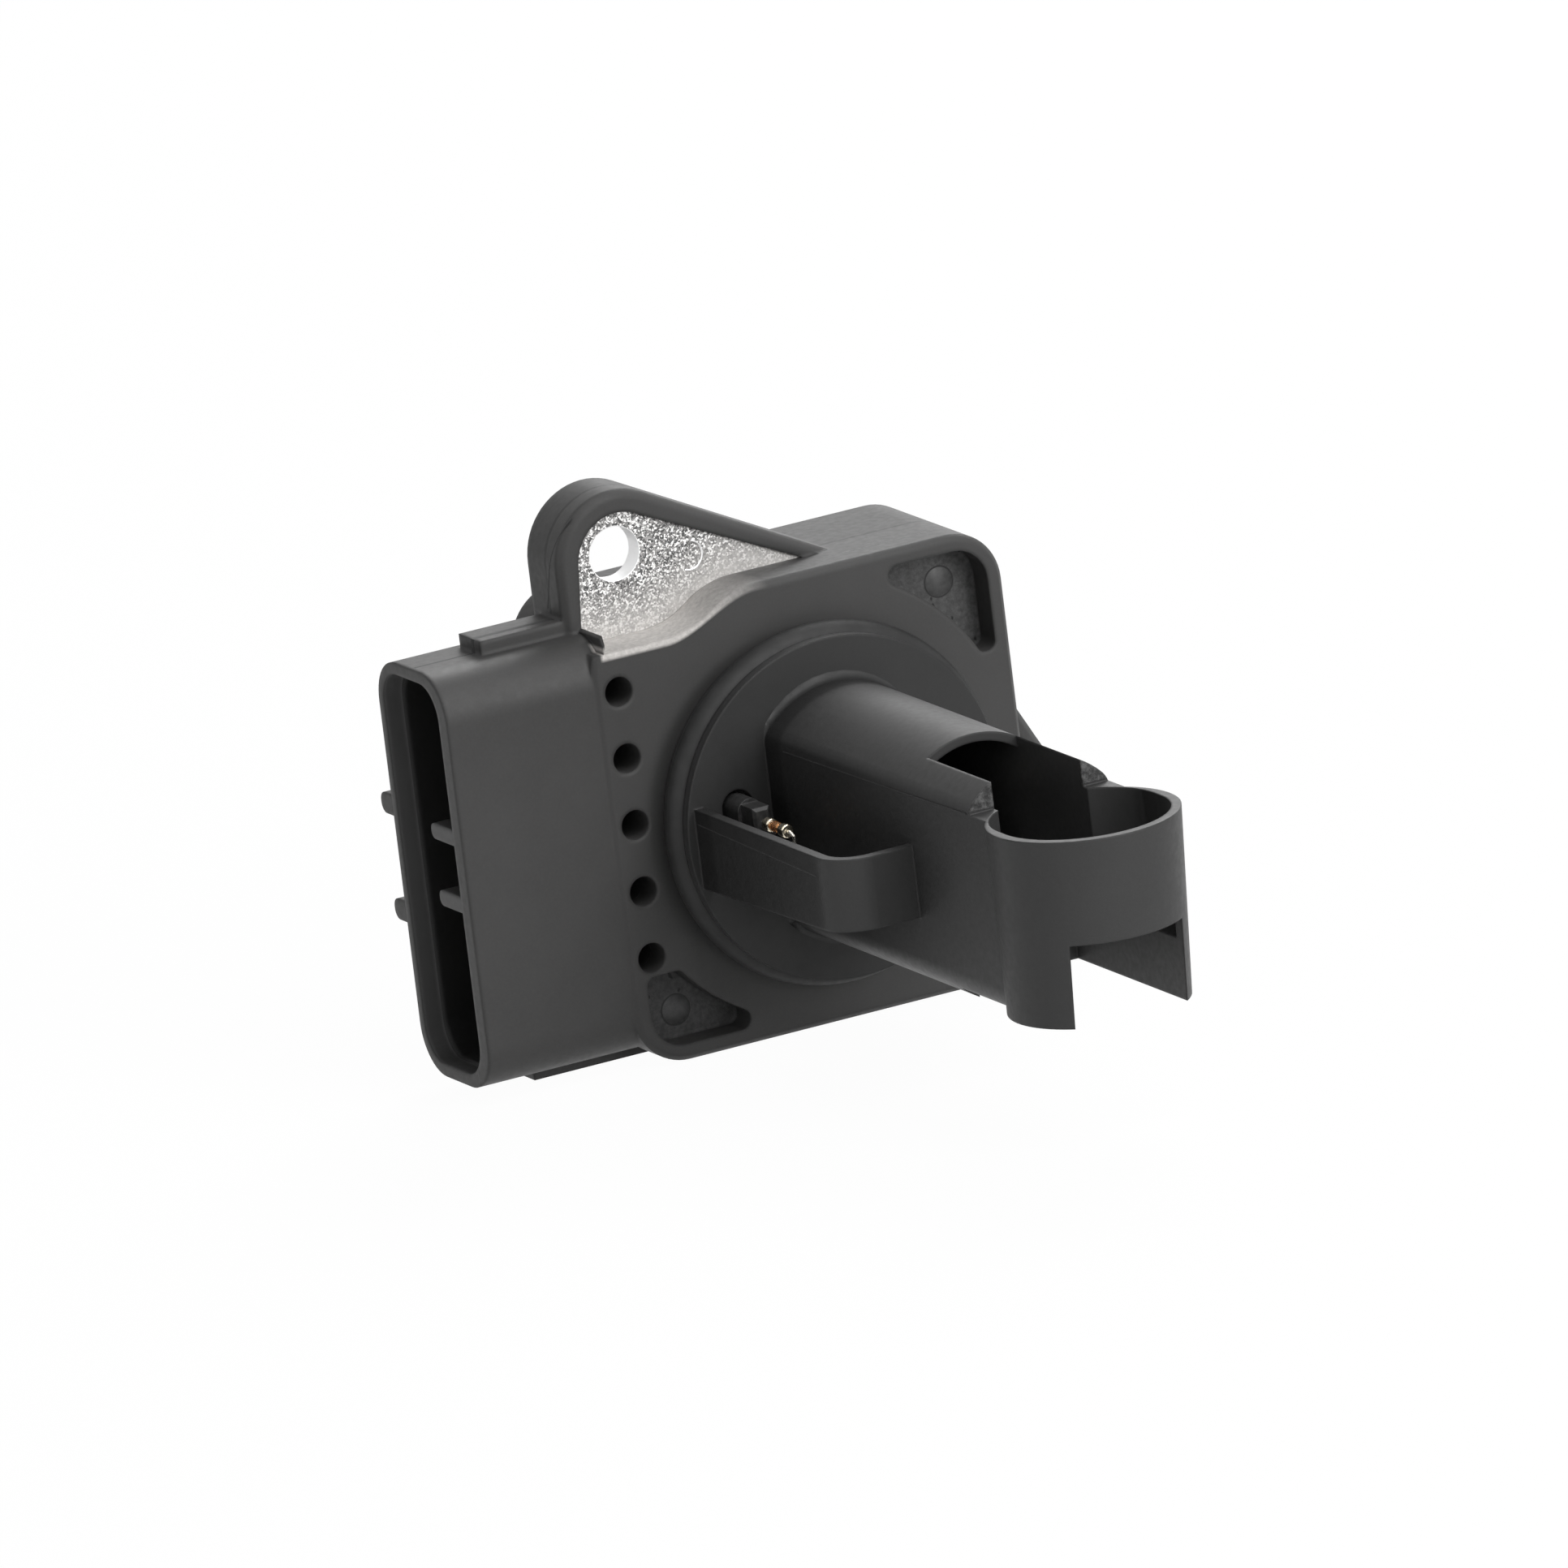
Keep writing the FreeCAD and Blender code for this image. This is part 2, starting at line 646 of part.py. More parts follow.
def dome_outline(half_width, radius, centre, blend):
    """A flat-sided outline with a wide round top and bottom, and blended shoulders."""
    rise = math.sqrt(radius ** 2 - half_width ** 2)
    shoulder = centre + rise
    crown = centre + radius
    edges = [arc((-half_width, shoulder), (0, crown), (half_width, shoulder)),
             line((half_width, shoulder), (half_width, -shoulder)),
             arc((half_width, -shoulder), (0, -crown), (-half_width, -shoulder)),
             line((-half_width, -shoulder), (-half_width, shoulder))]
    shape = prism(edges, 0, 1)
    if blend:
        shape = fillet_where(shape, blend, along_y)
    front = [f for f in shape.Faces if f.BoundBox.YLength < 1e-6 and f.BoundBox.YMin < 0.5]
    return front[0]


def stem_outside():
    """The stem from the spigot's face to the middle of the sleeve."""
    face = dome_outline(STEM_HALF_WIDTH, DOME_R, DOME_CENTRE, DOME_BLEND_R)
    face.translate(Vector(0, -SPIGOT_LENGTH + OVERLAP, 0))
    return face.extrude(Vector(0, -(SLEEVE_CENTRE - SPIGOT_LENGTH + OVERLAP), 0))


def sleeve_cone(inset, low, high):
    """The slightly tapered and leaning body of the sleeve, between two heights."""
    rise = SLEEVE_TOP - LEG_BOTTOM
    lean = Vector(0, -SLEEVE_TAPER_BACK, rise).normalize()
    slope = SLEEVE_TAPER_R / rise
    foot = Vector(0, -SLEEVE_CENTRE + SLEEVE_TAPER_BACK, LEG_BOTTOM)
    foot_r = SLEEVE_R - SLEEVE_TAPER_R - inset
    spare = 5.0
    cone = Part.makeCone(foot_r - slope * spare, foot_r + slope * (rise + spare),
                         rise + 2 * spare, foot - lean * spare, lean)
    return cone.common(block((-FAR, FAR), (-FAR, FAR), (low, high)))


def sleeve_bore():
    """The inside of the sleeve: it leans with the outside in front and is upright at the back."""
    low, high = SLEEVE_LOWER_RIM - 2, SLEEVE_TOP + 1
    upright = post(0, -SLEEVE_CENTRE + SLEEVE_TAPER_BACK, SLEEVE_R - SLEEVE_WALL, low, high)
    return sleeve_cone(SLEEVE_WALL, low, high).fuse(upright)


def guard_strap():
    """The strap that shields the air temperature element: along the probe, then in to the stem."""
    x0 = GUARD_X
    outer_end = -GUARD_END
    r_out = GUARD_CORNER_R
    r_in = GUARD_CORNER_R - GUARD_THICKNESS
    root = -SPIGOT_LENGTH + OVERLAP
    height = GUARD_TOP - GUARD_BOTTOM
    z = GUARD_BOTTOM
    stem_x = -STEM_HALF_WIDTH + OVERLAP

    def point(x, y):
        return Vector(x, y, z)

    cx, cy = x0 + r_out, outer_end + r_out
    mid = math.sqrt(0.5)
    outer_arc = Part.Arc(point(x0, cy), point(cx - r_out * mid, cy - r_out * mid),
                         point(cx, outer_end)).toShape()
    inner_arc = Part.Arc(point(cx - r_in, cy), point(cx - r_in * mid, cy - r_in * mid),
                         point(cx, cy - r_in)).toShape()
    edges = [Part.makeLine(point(x0, root), point(x0, cy)), outer_arc,
             Part.makeLine(point(cx, outer_end), point(stem_x, outer_end)),
             Part.makeLine(point(stem_x, outer_end), point(stem_x, cy - r_in)),
             Part.makeLine(point(stem_x, cy - r_in), point(cx, cy - r_in)), inner_arc,
             Part.makeLine(point(cx - r_in, cy), point(cx - r_in, root)),
             Part.makeLine(point(cx - r_in, root), point(x0, root))]
    face = Part.Face(Part.Wire(Part.__sortEdges__(edges)))
    draft = Part.makePolygon([Vector(x0 - PAST, root, z - PAST), Vector(x0 - PAST, root, z),
                              Vector(x0 - PAST, outer_end, z + GUARD_BOTTOM_RISE),
                              Vector(x0 - PAST, outer_end - PAST, z + GUARD_BOTTOM_RISE),
                              Vector(x0 - PAST, outer_end - PAST, z - PAST),
                              Vector(x0 - PAST, root, z - PAST)])
    below = Part.Face(draft).extrude(Vector(stem_x - x0 + 2 * PAST, 0, 0))
    return face.extrude(Vector(0, 0, height)).cut(below)


def spigot():
    """The round plug of the probe with its seal groove, and the neck that roots it in the body."""
    y0 = -SPIGOT_LENGTH
    profile = [(0, y0), (SPIGOT_R, y0), (SPIGOT_R, y0 + SPIGOT_LIP),
               (GROOVE_R, y0 + SPIGOT_LIP), (GROOVE_R, -GROOVE_START),
               (SPIGOT_R, -GROOVE_START), (SPIGOT_R, 0), (0, 0), (0, y0)]
    face = Part.Face(Part.makePolygon([Vector(r, y, 0) for r, y in profile]))
    shape = face.revolve(Vector(0, 0, 0), Vector(0, 1, 0), 360)
    return join([shape, neck(0, -GROOVE_START / 2, FRONT_WALL + PLATE_THICKNESS)])


def passage():
    """The by-pass through the stem: a domed duct, open above and below near the sleeve."""
    face = dome_outline(PASSAGE_HALF_WIDTH, PASSAGE_DOME_R, PASSAGE_DOME_CENTRE, 0)
    face.translate(Vector(0, -PASSAGE_ROOT, 0))
    duct = face.extrude(Vector(0, -(SLEEVE_CENTRE - PASSAGE_ROOT), 0))
    half = PASSAGE_HALF_WIDTH
    top = block((-half, half), (-SLEEVE_CENTRE, -TOP_OPENING), (0, FAR))
    low = block((-half, half), (-SLEEVE_CENTRE, -BOTTOM_OPENING), (-FAR, 0))
    return duct.fuse([top, low]).cut(septum())


def septum():
    """The wall across the duct that makes the air turn back past the elements."""
    half = SEPTUM_THICKNESS / 2
    wide = PASSAGE_HALF_WIDTH + OVERLAP
    return block((-wide, wide), (-SEPTUM_END, -SEPTUM_START), (-half, half))


def probe():
    """Spigot, stem, sleeve and guard strap as one moulding."""
    stem = stem_outside()
    above = block((-FAR, FAR), (-FAR, -WALL_END), (SLEEVE_TOP, FAR))
    beyond = block((-FAR, FAR), (-FAR, -SLEEVE_CENTRE), (-FAR, FAR))
    below_left = block((-FAR, 0), (-FAR, -LEFT_WALL_FOOT), (-FAR, LEG_BOTTOM))
    below_right = block((0, FAR), (-FAR, -RIGHT_WALL_FOOT), (-FAR, LEG_BOTTOM))
    stem = stem.cut([above, beyond, below_left, below_right])
    sleeve = sleeve_cone(0, LEG_BOTTOM, SLEEVE_TOP)
    shape = join([spigot(), stem, sleeve, guard_strap()])
    shape = shape.cut(passage())
    shape = shape.cut(sleeve_bore())
    window = block((-LEG_HALF_GAP, LEG_HALF_GAP), (-FAR, -LEG_WINDOW_START),
                   (-FAR, SLEEVE_LOWER_RIM))
    shape = shape.cut([window, holder_slot()])
    for pin in support_pins():
        shape = shape.cut(pin)
    for lead in leads():
        shape = shape.cut(lead)
    return shape


# Air temperature element


def holder(grow=0.0, y_tip=-SPIGOT_LENGTH - HOLDER_LENGTH):
    """The resin plug that carries the leads, round at both ends of its height."""
    half = HOLDER_HALF_WIDTH + grow
    z0 = HOLDER_BOTTOM + HOLDER_HALF_WIDTH
    z1 = HOLDER_TOP - HOLDER_HALF_WIDTH
    y1 = -SPIGOT_LENGTH + HOLDER_SEAT
    x = HOLDER_X
    middle = block((x - half, x + half), (y_tip, y1), (z0, z1))
    return join([middle, disc(x, z0, half, y_tip, y1), disc(x, z1, half, y_tip, y1)])


def nose():
    """The narrower end of the holder, which the bead's leads come out of."""
    low = BEAD_Z - LEAD_SPREAD - NOSE_HALF_WIDTH
    tip = -SPIGOT_LENGTH - HOLDER_LENGTH - NOSE_LENGTH
    root = -SPIGOT_LENGTH - HOLDER_LENGTH
    shape = block((HOLDER_X - NOSE_HALF_WIDTH, HOLDER_X + NOSE_HALF_WIDTH), (tip, root),
                  (low, HOLDER_TOP - NOSE_INSET))
    return chamfer_where(shape, NOSE_HALF_WIDTH / 3, lambda e: e.BoundBox.YMax < tip + 1e-6)


def holder_slot():
    """The slot in the spigot's face: the holder's seat, wider near the face."""
    step = -SPIGOT_LENGTH + HOLDER_SEAT / 2
    wide = holder(SLOT_CLEARANCE, -SPIGOT_LENGTH - 1)
    wide = wide.common(block((-FAR, FAR), (-FAR, step), (-FAR, FAR)))
    return wide.fuse(holder(0.0, -SPIGOT_LENGTH - 1))


def bead_ends():
    """Depth of the near and the far end of the bead."""
    near = -SPIGOT_LENGTH - HOLDER_LENGTH - NOSE_LENGTH - BEAD_GAP
    return near, near - BEAD_LENGTH


def thermistor_bead():
    """The glass body with a metal collar at each end."""
    near, far = bead_ends()
    x, z = HOLDER_X, BEAD_Z
    glass = disc(x, z, BEAD_R, far, near)
    for y in (near - BEAD_COLLAR_LENGTH, far):
        glass = glass.fuse(disc(x, z, BEAD_COLLAR_R, y, y + BEAD_COLLAR_LENGTH))
    return glass.removeSplitter().cut(leads())


def lead(corners):
    """A wire along (y, z) corners. Six flats stand in for its round section."""
    y, z = corners[0]
    step = 360 / LEAD_SIDES
    section = []
    for i in range(LEAD_SIDES + 1):
        px, pz = on_circle((HOLDER_X, z), LEAD_R, step * i)
        section.append(Vector(px, y, pz))
    path = Part.makePolygon([Vector(HOLDER_X, py, pz) for py, pz in corners])
    return path.makePipeShell([Part.makePolygon(section)], True, False, 1)


def leads():
    """The two leads: one straight back from the bead, one that turns back beside it."""
    near, far = bead_ends()
    z = BEAD_Z
    root = FRONT_WALL + PLATE_THICKNESS + SUPPORT_PIN_TAIL
    start = (near + far) / 2
    turn_y = far - LEAD_TURN_GAP
    reach = LEAD_SPREAD / 2
    cut_off = reach * (2 - math.sqrt(2)) / 2
    corners = [(start, z), (turn_y, z), (turn_y - reach + cut_off, z - cut_off),
               (turn_y - reach + cut_off, z - LEAD_SPREAD + cut_off),
               (turn_y, z - LEAD_SPREAD), (root, z - LEAD_SPREAD)]
    return [lead([(start, z), (root, z)]), lead(corners)]


# Elements in the passage


def element(z):
    """A ceramic tube wound with wire, across the passage between two pins."""
    y = -ELEMENT_DEPTH
    half = ELEMENT_SPAN / 2 - SUPPORT_PIN_HALF
    return Part.makeCylinder(ELEMENT_R, 2 * half, Vector(-half, y, z), Vector(1, 0, 0))


def support_pins():
    """The four square pins that carry the two elements from the root of the probe."""
    root = FRONT_WALL + PLATE_THICKNESS + SUPPORT_PIN_TAIL
    tip = -ELEMENT_DEPTH - ELEMENT_R
    half = SUPPORT_PIN_HALF
    pins = []
    for z in ELEMENT_Z:
        for side in (-1, 1):
            x = side * ELEMENT_SPAN / 2
            pins.append(block((x - half, x + half), (tip, root), (z - half, z + half)))
    return pins


# Seal


def o_ring():
    """The seal ring in the spigot's groove. Eight flats stand in for its round section."""
    middle = -(GROOVE_START + SPIGOT_LENGTH - SPIGOT_LIP) / 2
    step = 360 / RING_SECTION_SIDES
    flat_r = RING_SECTION_R / math.cos(math.radians(step / 2))
    section = []
    for i in range(RING_SECTION_SIDES + 1):
        r, y = on_circle((GROOVE_R + RING_SECTION_R, middle), flat_r, step * (i + 0.5))
        section.append(Vector(r, y, 0))
    return Part.Face(Part.makePolygon(section)).revolve(Vector(0, 0, 0), Vector(0, 1, 0), 360)


# Circuit


def board_edges():
    """Left, right and half height of the circuit board, from the room round it."""
    left = TERMINAL_WALL - BODY_HALF + TAIL_LENGTH + BOARD_TERMINAL_GAP
    right = BODY_HALF - SIDE_WALL - BOARD_GAP
    return left, right, right


def board():
    """The ceramic circuit board, glued to the metal plate, cut out round the probe's root."""
    y0 = FRONT_WALL + PLATE_THICKNESS
    y1 = y0 + BOARD_THICKNESS
    left, right, half = board_edges()
    shape = rounded_block((left, right), (y0, y1), (-half, half), BOARD_CORNER_R)
    margin = SUPPORT_PIN_HALF + BOARD_SLOT_MARGIN
    reach = ELEMENT_SPAN / 2 + margin
    high = ELEMENT_Z[0] + margin
    low = ELEMENT_Z[1] - margin
    return shape.cut(block((-FAR, reach), (y0 - 1, y1 + 1), (low, high)))


def component(size, x, z):
    """A square-edged part soldered to the board, centred at x and z."""
    width, height, tall = size
    y0 = FRONT_WALL + PLATE_THICKNESS + BOARD_THICKNESS
    return block((x - width / 2, x + width / 2), (y0, y0 + tall), (z - height / 2, z + height / 2))


def chip_row(size, x, z_start, count, pitch):
    """A row of like small parts, one under the other."""
    return Part.makeCompound([component(size, x, z_start - pitch * i) for i in range(count)])


def circuit():
    """The parts on the board, by node, placed from its right and top edges."""
    left, right, half = board_edges()
    chips_x = right - CHIP_COLUMN_INSET
    small_x = left + SMALL_COLUMN_INSET
    return {
        "control_chip": component(CONTROL_CHIP, chips_x, CONTROL_CHIP_Z),
        "power_transistor": component(POWER_TRANSISTOR, chips_x, -half / 2),
        "memory_chip": component(MEMORY_CHIP, chips_x, half - MEMORY_CHIP_DROP),
        "capacitors": chip_row(CAPACITOR, small_x, half - CAPACITOR_DROP, CAPACITOR_COUNT,
                               CAPACITOR_PITCH),
        "resistors": chip_row(RESISTOR, small_x, -half / 2 - RESISTOR_PITCH / 2, RESISTOR_COUNT,
                              RESISTOR_PITCH),
    }


def main():
    """Builds and writes every node."""
    save("housing", housing())
    save("rear_cover", rear_cover())
    save("cover_seal", cover_seal())
    save("mounting_plate", mounting_plate())
    save("probe", probe())
    save("o_ring", o_ring())
    for number, z in enumerate(terminal_heights(), start=1):
        save("terminal_" + str(number), terminal(z))
    save("circuit_board", board())
    for node, shape in circuit().items():
        save(node, shape)
    for name, z in zip(("hot_element", "compensating_element"), ELEMENT_Z):
        save(name, element(z))
    for number, pin in enumerate(support_pins(), start=1):
        save("support_pin_" + str(number), pin)
    save("thermistor_holder", join([holder(), nose()]).cut(leads()))
    save("thermistor", thermistor_bead())
    for number, lead in enumerate(leads(), start=1):
        save("thermistor_lead_" + str(number), lead)


main()
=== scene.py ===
"""Looks of the mass airflow sensor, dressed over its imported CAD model.

Metres, in the frame of the CAD: the origin is on the spigot's axis at the seating face, the
probe points to -Y, the connector opens to -X, and +Z is up.
"""
import math

import bmesh
import bpy
from mathutils import Matrix, Vector

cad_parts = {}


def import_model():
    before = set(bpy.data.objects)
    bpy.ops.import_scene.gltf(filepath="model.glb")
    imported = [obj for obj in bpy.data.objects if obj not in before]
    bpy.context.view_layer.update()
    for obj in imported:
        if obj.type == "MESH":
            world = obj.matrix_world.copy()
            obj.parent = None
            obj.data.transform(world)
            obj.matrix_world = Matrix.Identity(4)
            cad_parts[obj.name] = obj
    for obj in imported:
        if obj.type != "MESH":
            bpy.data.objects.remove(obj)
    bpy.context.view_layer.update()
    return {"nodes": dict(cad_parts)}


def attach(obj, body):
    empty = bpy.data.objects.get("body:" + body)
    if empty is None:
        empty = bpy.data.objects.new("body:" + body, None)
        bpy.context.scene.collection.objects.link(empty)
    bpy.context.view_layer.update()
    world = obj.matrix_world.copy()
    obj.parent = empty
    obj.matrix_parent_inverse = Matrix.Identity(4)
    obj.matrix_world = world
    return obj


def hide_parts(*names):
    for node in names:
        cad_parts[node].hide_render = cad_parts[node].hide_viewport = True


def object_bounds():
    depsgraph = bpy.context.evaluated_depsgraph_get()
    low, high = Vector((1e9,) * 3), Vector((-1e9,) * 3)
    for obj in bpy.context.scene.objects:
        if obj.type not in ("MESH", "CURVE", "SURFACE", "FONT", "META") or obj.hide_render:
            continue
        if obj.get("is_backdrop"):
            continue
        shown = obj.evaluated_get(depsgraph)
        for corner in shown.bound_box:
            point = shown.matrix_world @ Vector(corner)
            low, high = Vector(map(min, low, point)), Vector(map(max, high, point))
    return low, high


MM = 0.001

# Places and sizes that the pieces below share with the CAD, in millimetres
BODY_HALF = 20.5
FRONT_WALL = 4.8
MOUTH_X = -35.0
MOUTH_FRONT = 2.0
MOUTH_BACK = 12.7
MOUTH_LOW = -18.2
MOUTH_HIGH = 17.6
SPIGOT_LENGTH = 4.67
SPIGOT_LIP = 0.9
GROOVE_START = 0.7
GROOVE_R = 13.6
RING_SECTION_R = 1.4
STEM_HALF_WIDTH = 7.0
DOME_R = 8.83
DOME_CENTRE = 2.8
DOME_BLEND_R = 2.4
WALL_END = 43.3
SLEEVE_TOP = 8.0
SLEEVE_FOOT = -1.6
SLEEVE_Y = -51.5
SLEEVE_LEAN = 0.67
GUARD_X = -14.6
EAR_HOLE = (-14.7, 24.9)
EAR_HOLE_R = 2.45
EAR_CENTRE = (-14.3, 24.4)
EAR_R = 6.2
SHROUD_TOP = 18.7
BLOCK_TOP = 20.0
BLOCK_END = -28.7
POCKET_DEPTH = 2.85
RECESS_LOW = 17.5
RECESS_TURN_START = -13.1
RECESS_TURN_END = -3.7
ELEMENT_X = -10.3
BEAD_Z = 1.9
BEAD_NEAR = -10.17
BEAD_FAR = -14.07
BEAD_R = 0.5
COLLAR_R = 0.62
COLLAR_LENGTH = 1.0

# The middle of the sleeve's wall at its top and at its foot: inside it the bore starts
WALL_MIDDLE_TOP_R = 8.15
WALL_MIDDLE_FOOT_R = 7.87

# Sizes of what only the looks have, in millimetres
ROOT_FILLET_R = 0.9
ROOT_SIDE_R = 0.05
# How far from the spigot's face the painted shade at the stem's root reaches
ROOT_SHADE_LENGTH = 2.6
RING_LINE = 0.03
COLLAR_ROUNDING = 0.14
SOFT_EDGE = 0.28
BODY_SOFT_EDGE = 0.6
GRAIN_DEPTH = 0.006
EJECTOR_R = 1.45
DIMPLE_R = 1.33
SEAM_WIDTH = 0.13
SEAM_HEIGHT = 0.035
JOINT_HEIGHT = 0.03
SUNK = 0.01

# Places that only the looks have, in millimetres: pairs on the front are (x, z), the ear's is (y, z)
DIMPLE = (-7.5, 23.1)
EJECTOR_UPPER = (15.54, 15.8)
EJECTOR_LOWER = (-15.2, -16.5)
TOP_LINE_Y = 7.1
# Where the band of painted shade on the top ends
TOP_BAND_END = 12.8
LEAD_IN = 1.8
# Where the painted shade deep in the mouth ends
MOUTH_SHADE_END = -21.5
CONNECTOR_LINE_X = (-34.6, -32.0, BLOCK_END)
BLOCK_LINE_X = (BLOCK_END - 0.02, -26.0, -23.5, -20.7)
BLOCK_LINE_Y = 6.4
BLOCK_LINE_Z = (BLOCK_TOP, 19.4, SHROUD_TOP)
EAR_LINE_FOOT = (7.5, 20.7)
EAR_LINE_RISE = 8.3
EAR_LINE_LEAN = 2.8
DUST_START = -19.6
DUST_FADE_START = -10.0
DUST_FADE_END = -2.5
# Where the painted shade on the stem's left flank is full and where it is gone, and its span on the guard
# strap's flat face
FLANK_SHADE_FULL = -20.0
FLANK_SHADE_NONE = -36.0
GUARD_FLAT_START = -5.0
GUARD_FLAT_END = -27.0

# The seam lines: along Y, the height that each has at one place, and its slope
STEM_SEAM_Y = (-8.2, -16.0, -25.0, -34.0, -42.8)
STEM_SEAM_AT = (-8.0, 7.35)
STEM_SEAM_SLOPE = -0.02
GUARD_SEAM_Y = (-5.0, -12.0, -19.0, -27.5)
GUARD_SEAM_AT = (-5.0, 1.85)
GUARD_SEAM_SLOPE = 0.025

# A pocket's floor is where x times z, in square millimetres, is past this range
CORNER_START = 80.0
CORNER_FULL = 100.0

# Ways that faces look
AHEAD = (0, -1, 0)
LEFT = (-1, 0, 0)
RIGHT = (1, 0, 0)
UP = (0, 0, 1)

# Tones of the plastics, and the near-black tones of the painted shade
HOUSING_SHADE = 0.042
PROBE_SHADE = 0.033
PLASTIC_SPECULAR = 0.25
PAINTED_DEEP_SHADE = 0.004
PAINTED_SIDE_SHADE = 0.002

# The light: each lamp's name, place in metres and power in watts
WORLD_LIGHT = 0.03
LAMP_SIZE = 0.5
LAMP_AIM = (0, -0.02, 0)
LAMPS = (
    ("key_back_right", (0.50, 0.50, 0.60), 6.5),
    ("key_above_front", (0.10, -0.50, 0.75), 4.5),
    ("fill_front", (0.35, -0.90, 0.35), 5.5),
    ("fill_camera", (-0.40, -0.87, 0.45), 1.2),
    ("fill_left", (-0.90, -0.30, 0.15), 0.5),
)

# The floor: the gap under the part in millimetres, its side in metres, and how far it glows
FLOOR_GAP = 0.2
FLOOR_SIZE = 6.0
FLOOR_GLOW = 0.97

# The photograph's camera, from the fit of the CAD to it
CAMERA_RIGHT = Vector((0.8799, -0.4602, -0.1183))
CAMERA_UP = Vector((0.2216, 0.1771, 0.9589))
CAMERA_BACK = Vector((-0.4203, -0.8700, 0.2578))
CAMERA_ASIDE = -3.2949
CAMERA_RAISED = 1.1674
CAMERA_DISTANCE = 2705.09
CAMERA_LENS = 704.1
SENSOR = 36.0


# Small helpers for node materials


class Material:
    """A node material with short calls to add and join its nodes."""

    def __init__(self, name):
        self.data = bpy.data.materials.new(name)
        self.data.use_nodes = True
        self.tree = self.data.node_tree
        self.tree.nodes.clear()
        self.output = self.node("ShaderNodeOutputMaterial")
        self.place = self.node("ShaderNodeTexCoord").outputs["Object"]

    def node(self, kind, **settings):
        made = self.tree.nodes.new(kind)
        for key, value in settings.items():
            setattr(made, key, value)
        return made

    def join(self, source, target):
        self.tree.links.new(source, target)

    def put(self, target, value):
        """Joins a socket, or sets a plain value."""
        if isinstance(value, bpy.types.NodeSocket):
            self.join(value, target)
        else:
            target.default_value = value

    def noise(self, per_mm, detail=2.0, rough=0.5):
        made = self.node("ShaderNodeTexNoise")
        self.join(self.place, made.inputs["Vector"])
        made.inputs["Scale"].default_value = per_mm / MM
        made.inputs["Detail"].default_value = detail
        made.inputs["Roughness"].default_value = rough
        return made.outputs["Fac"]

    def cells(self, per_mm):
        """A pattern of small cells, as its node."""
        made = self.node("ShaderNodeTexVoronoi")
        self.join(self.place, made.inputs["Vector"])
        made.inputs["Scale"].default_value = per_mm / MM
        return made

    def specks(self, per_mm):
        """The distance to the middle of the nearest cell."""
        return self.cells(per_mm).outputs["Distance"]

    def crystals(self, per_mm):
        """A chance value for each cell."""
        split = self.node("ShaderNodeSeparateColor")
        self.join(self.cells(per_mm).outputs["Color"], split.inputs[0])
        return split.outputs[0]

    def spread(self, value, low, high, to_low=0.0, to_high=1.0):
        """Maps a range of a value on another range, and stops at its ends."""
        made = self.node("ShaderNodeMapRange", clamp=True)
        self.put(made.inputs["Value"], value)
        made.inputs["From Min"].default_value = low
        made.inputs["From Max"].default_value = high
        made.inputs["To Min"].default_value = to_low
        made.inputs["To Max"].default_value = to_high
        return made.outputs["Result"]

    def window(self, value, low_mm, high_mm, soft_mm=0.1):
        """One where a coordinate is inside a range, nought outside it."""
        rise = self.spread(value, (low_mm - soft_mm) * MM, low_mm * MM)
        fall = self.spread(value, high_mm * MM, (high_mm + soft_mm) * MM, 1.0, 0.0)
        return self.times(rise, fall)

    def calc(self, kind, first, second=0.0):
        made = self.node("ShaderNodeMath", operation=kind)
        self.put(made.inputs[0], first)
        self.put(made.inputs[1], second)
        return made.outputs[0]

    def times(self, first, second):
        return self.calc("MULTIPLY", first, second)

    def plus(self, first, second):
        return self.calc("ADD", first, second)

    def cover(self, tone, mask, share, over):
        """Lays a second colour over a first one where a mask is one, by a share."""
        return self.blend(self.times(mask, share), tone, over)

    def blend(self, share, first, second):
        """Mixes two colours."""
        made = self.node("ShaderNodeMix", data_type="RGBA")
        self.put(made.inputs["Factor"], share)
        self.put(made.inputs["A"], first)
        self.put(made.inputs["B"], second)
        return made.outputs["Result"]

    def axis(self, name):
        made = self.node("ShaderNodeSeparateXYZ")
        self.join(self.place, made.inputs[0])
        return made.outputs[name]

    def soft_edges(self, radius_mm):
        made = self.node("ShaderNodeBevel", samples=6)
        made.inputs["Radius"].default_value = radius_mm * MM
        return made.outputs["Normal"]

    def bump(self, height, depth_mm, strength=1.0, normal=None):
        made = self.node("ShaderNodeBump")
        made.inputs["Strength"].default_value = strength
        made.inputs["Distance"].default_value = depth_mm * MM
        self.join(height, made.inputs["Height"])
        if normal:
            self.join(normal, made.inputs["Normal"])
        return made.outputs["Normal"]

    def shader(self, colour, rough, normal=None, **plain):
        """The surface itself. Plain values are set on the shader's own sockets."""
        made = self.node("ShaderNodeBsdfPrincipled")
        self.put(made.inputs["Base Color"], colour)
        self.put(made.inputs["Roughness"], rough)
        if normal:
            self.join(normal, made.inputs["Normal"])
        for key, value in plain.items():
            made.inputs[key.replace("_", " ")].default_value = value
        self.join(made.outputs[0], self.output.inputs["Surface"])
        return self.data


def grey(value, warm=0.0):
    """A grey, slightly warm or cool."""
    return (value * (1 + warm), value, value * (1 - warm), 1.0)


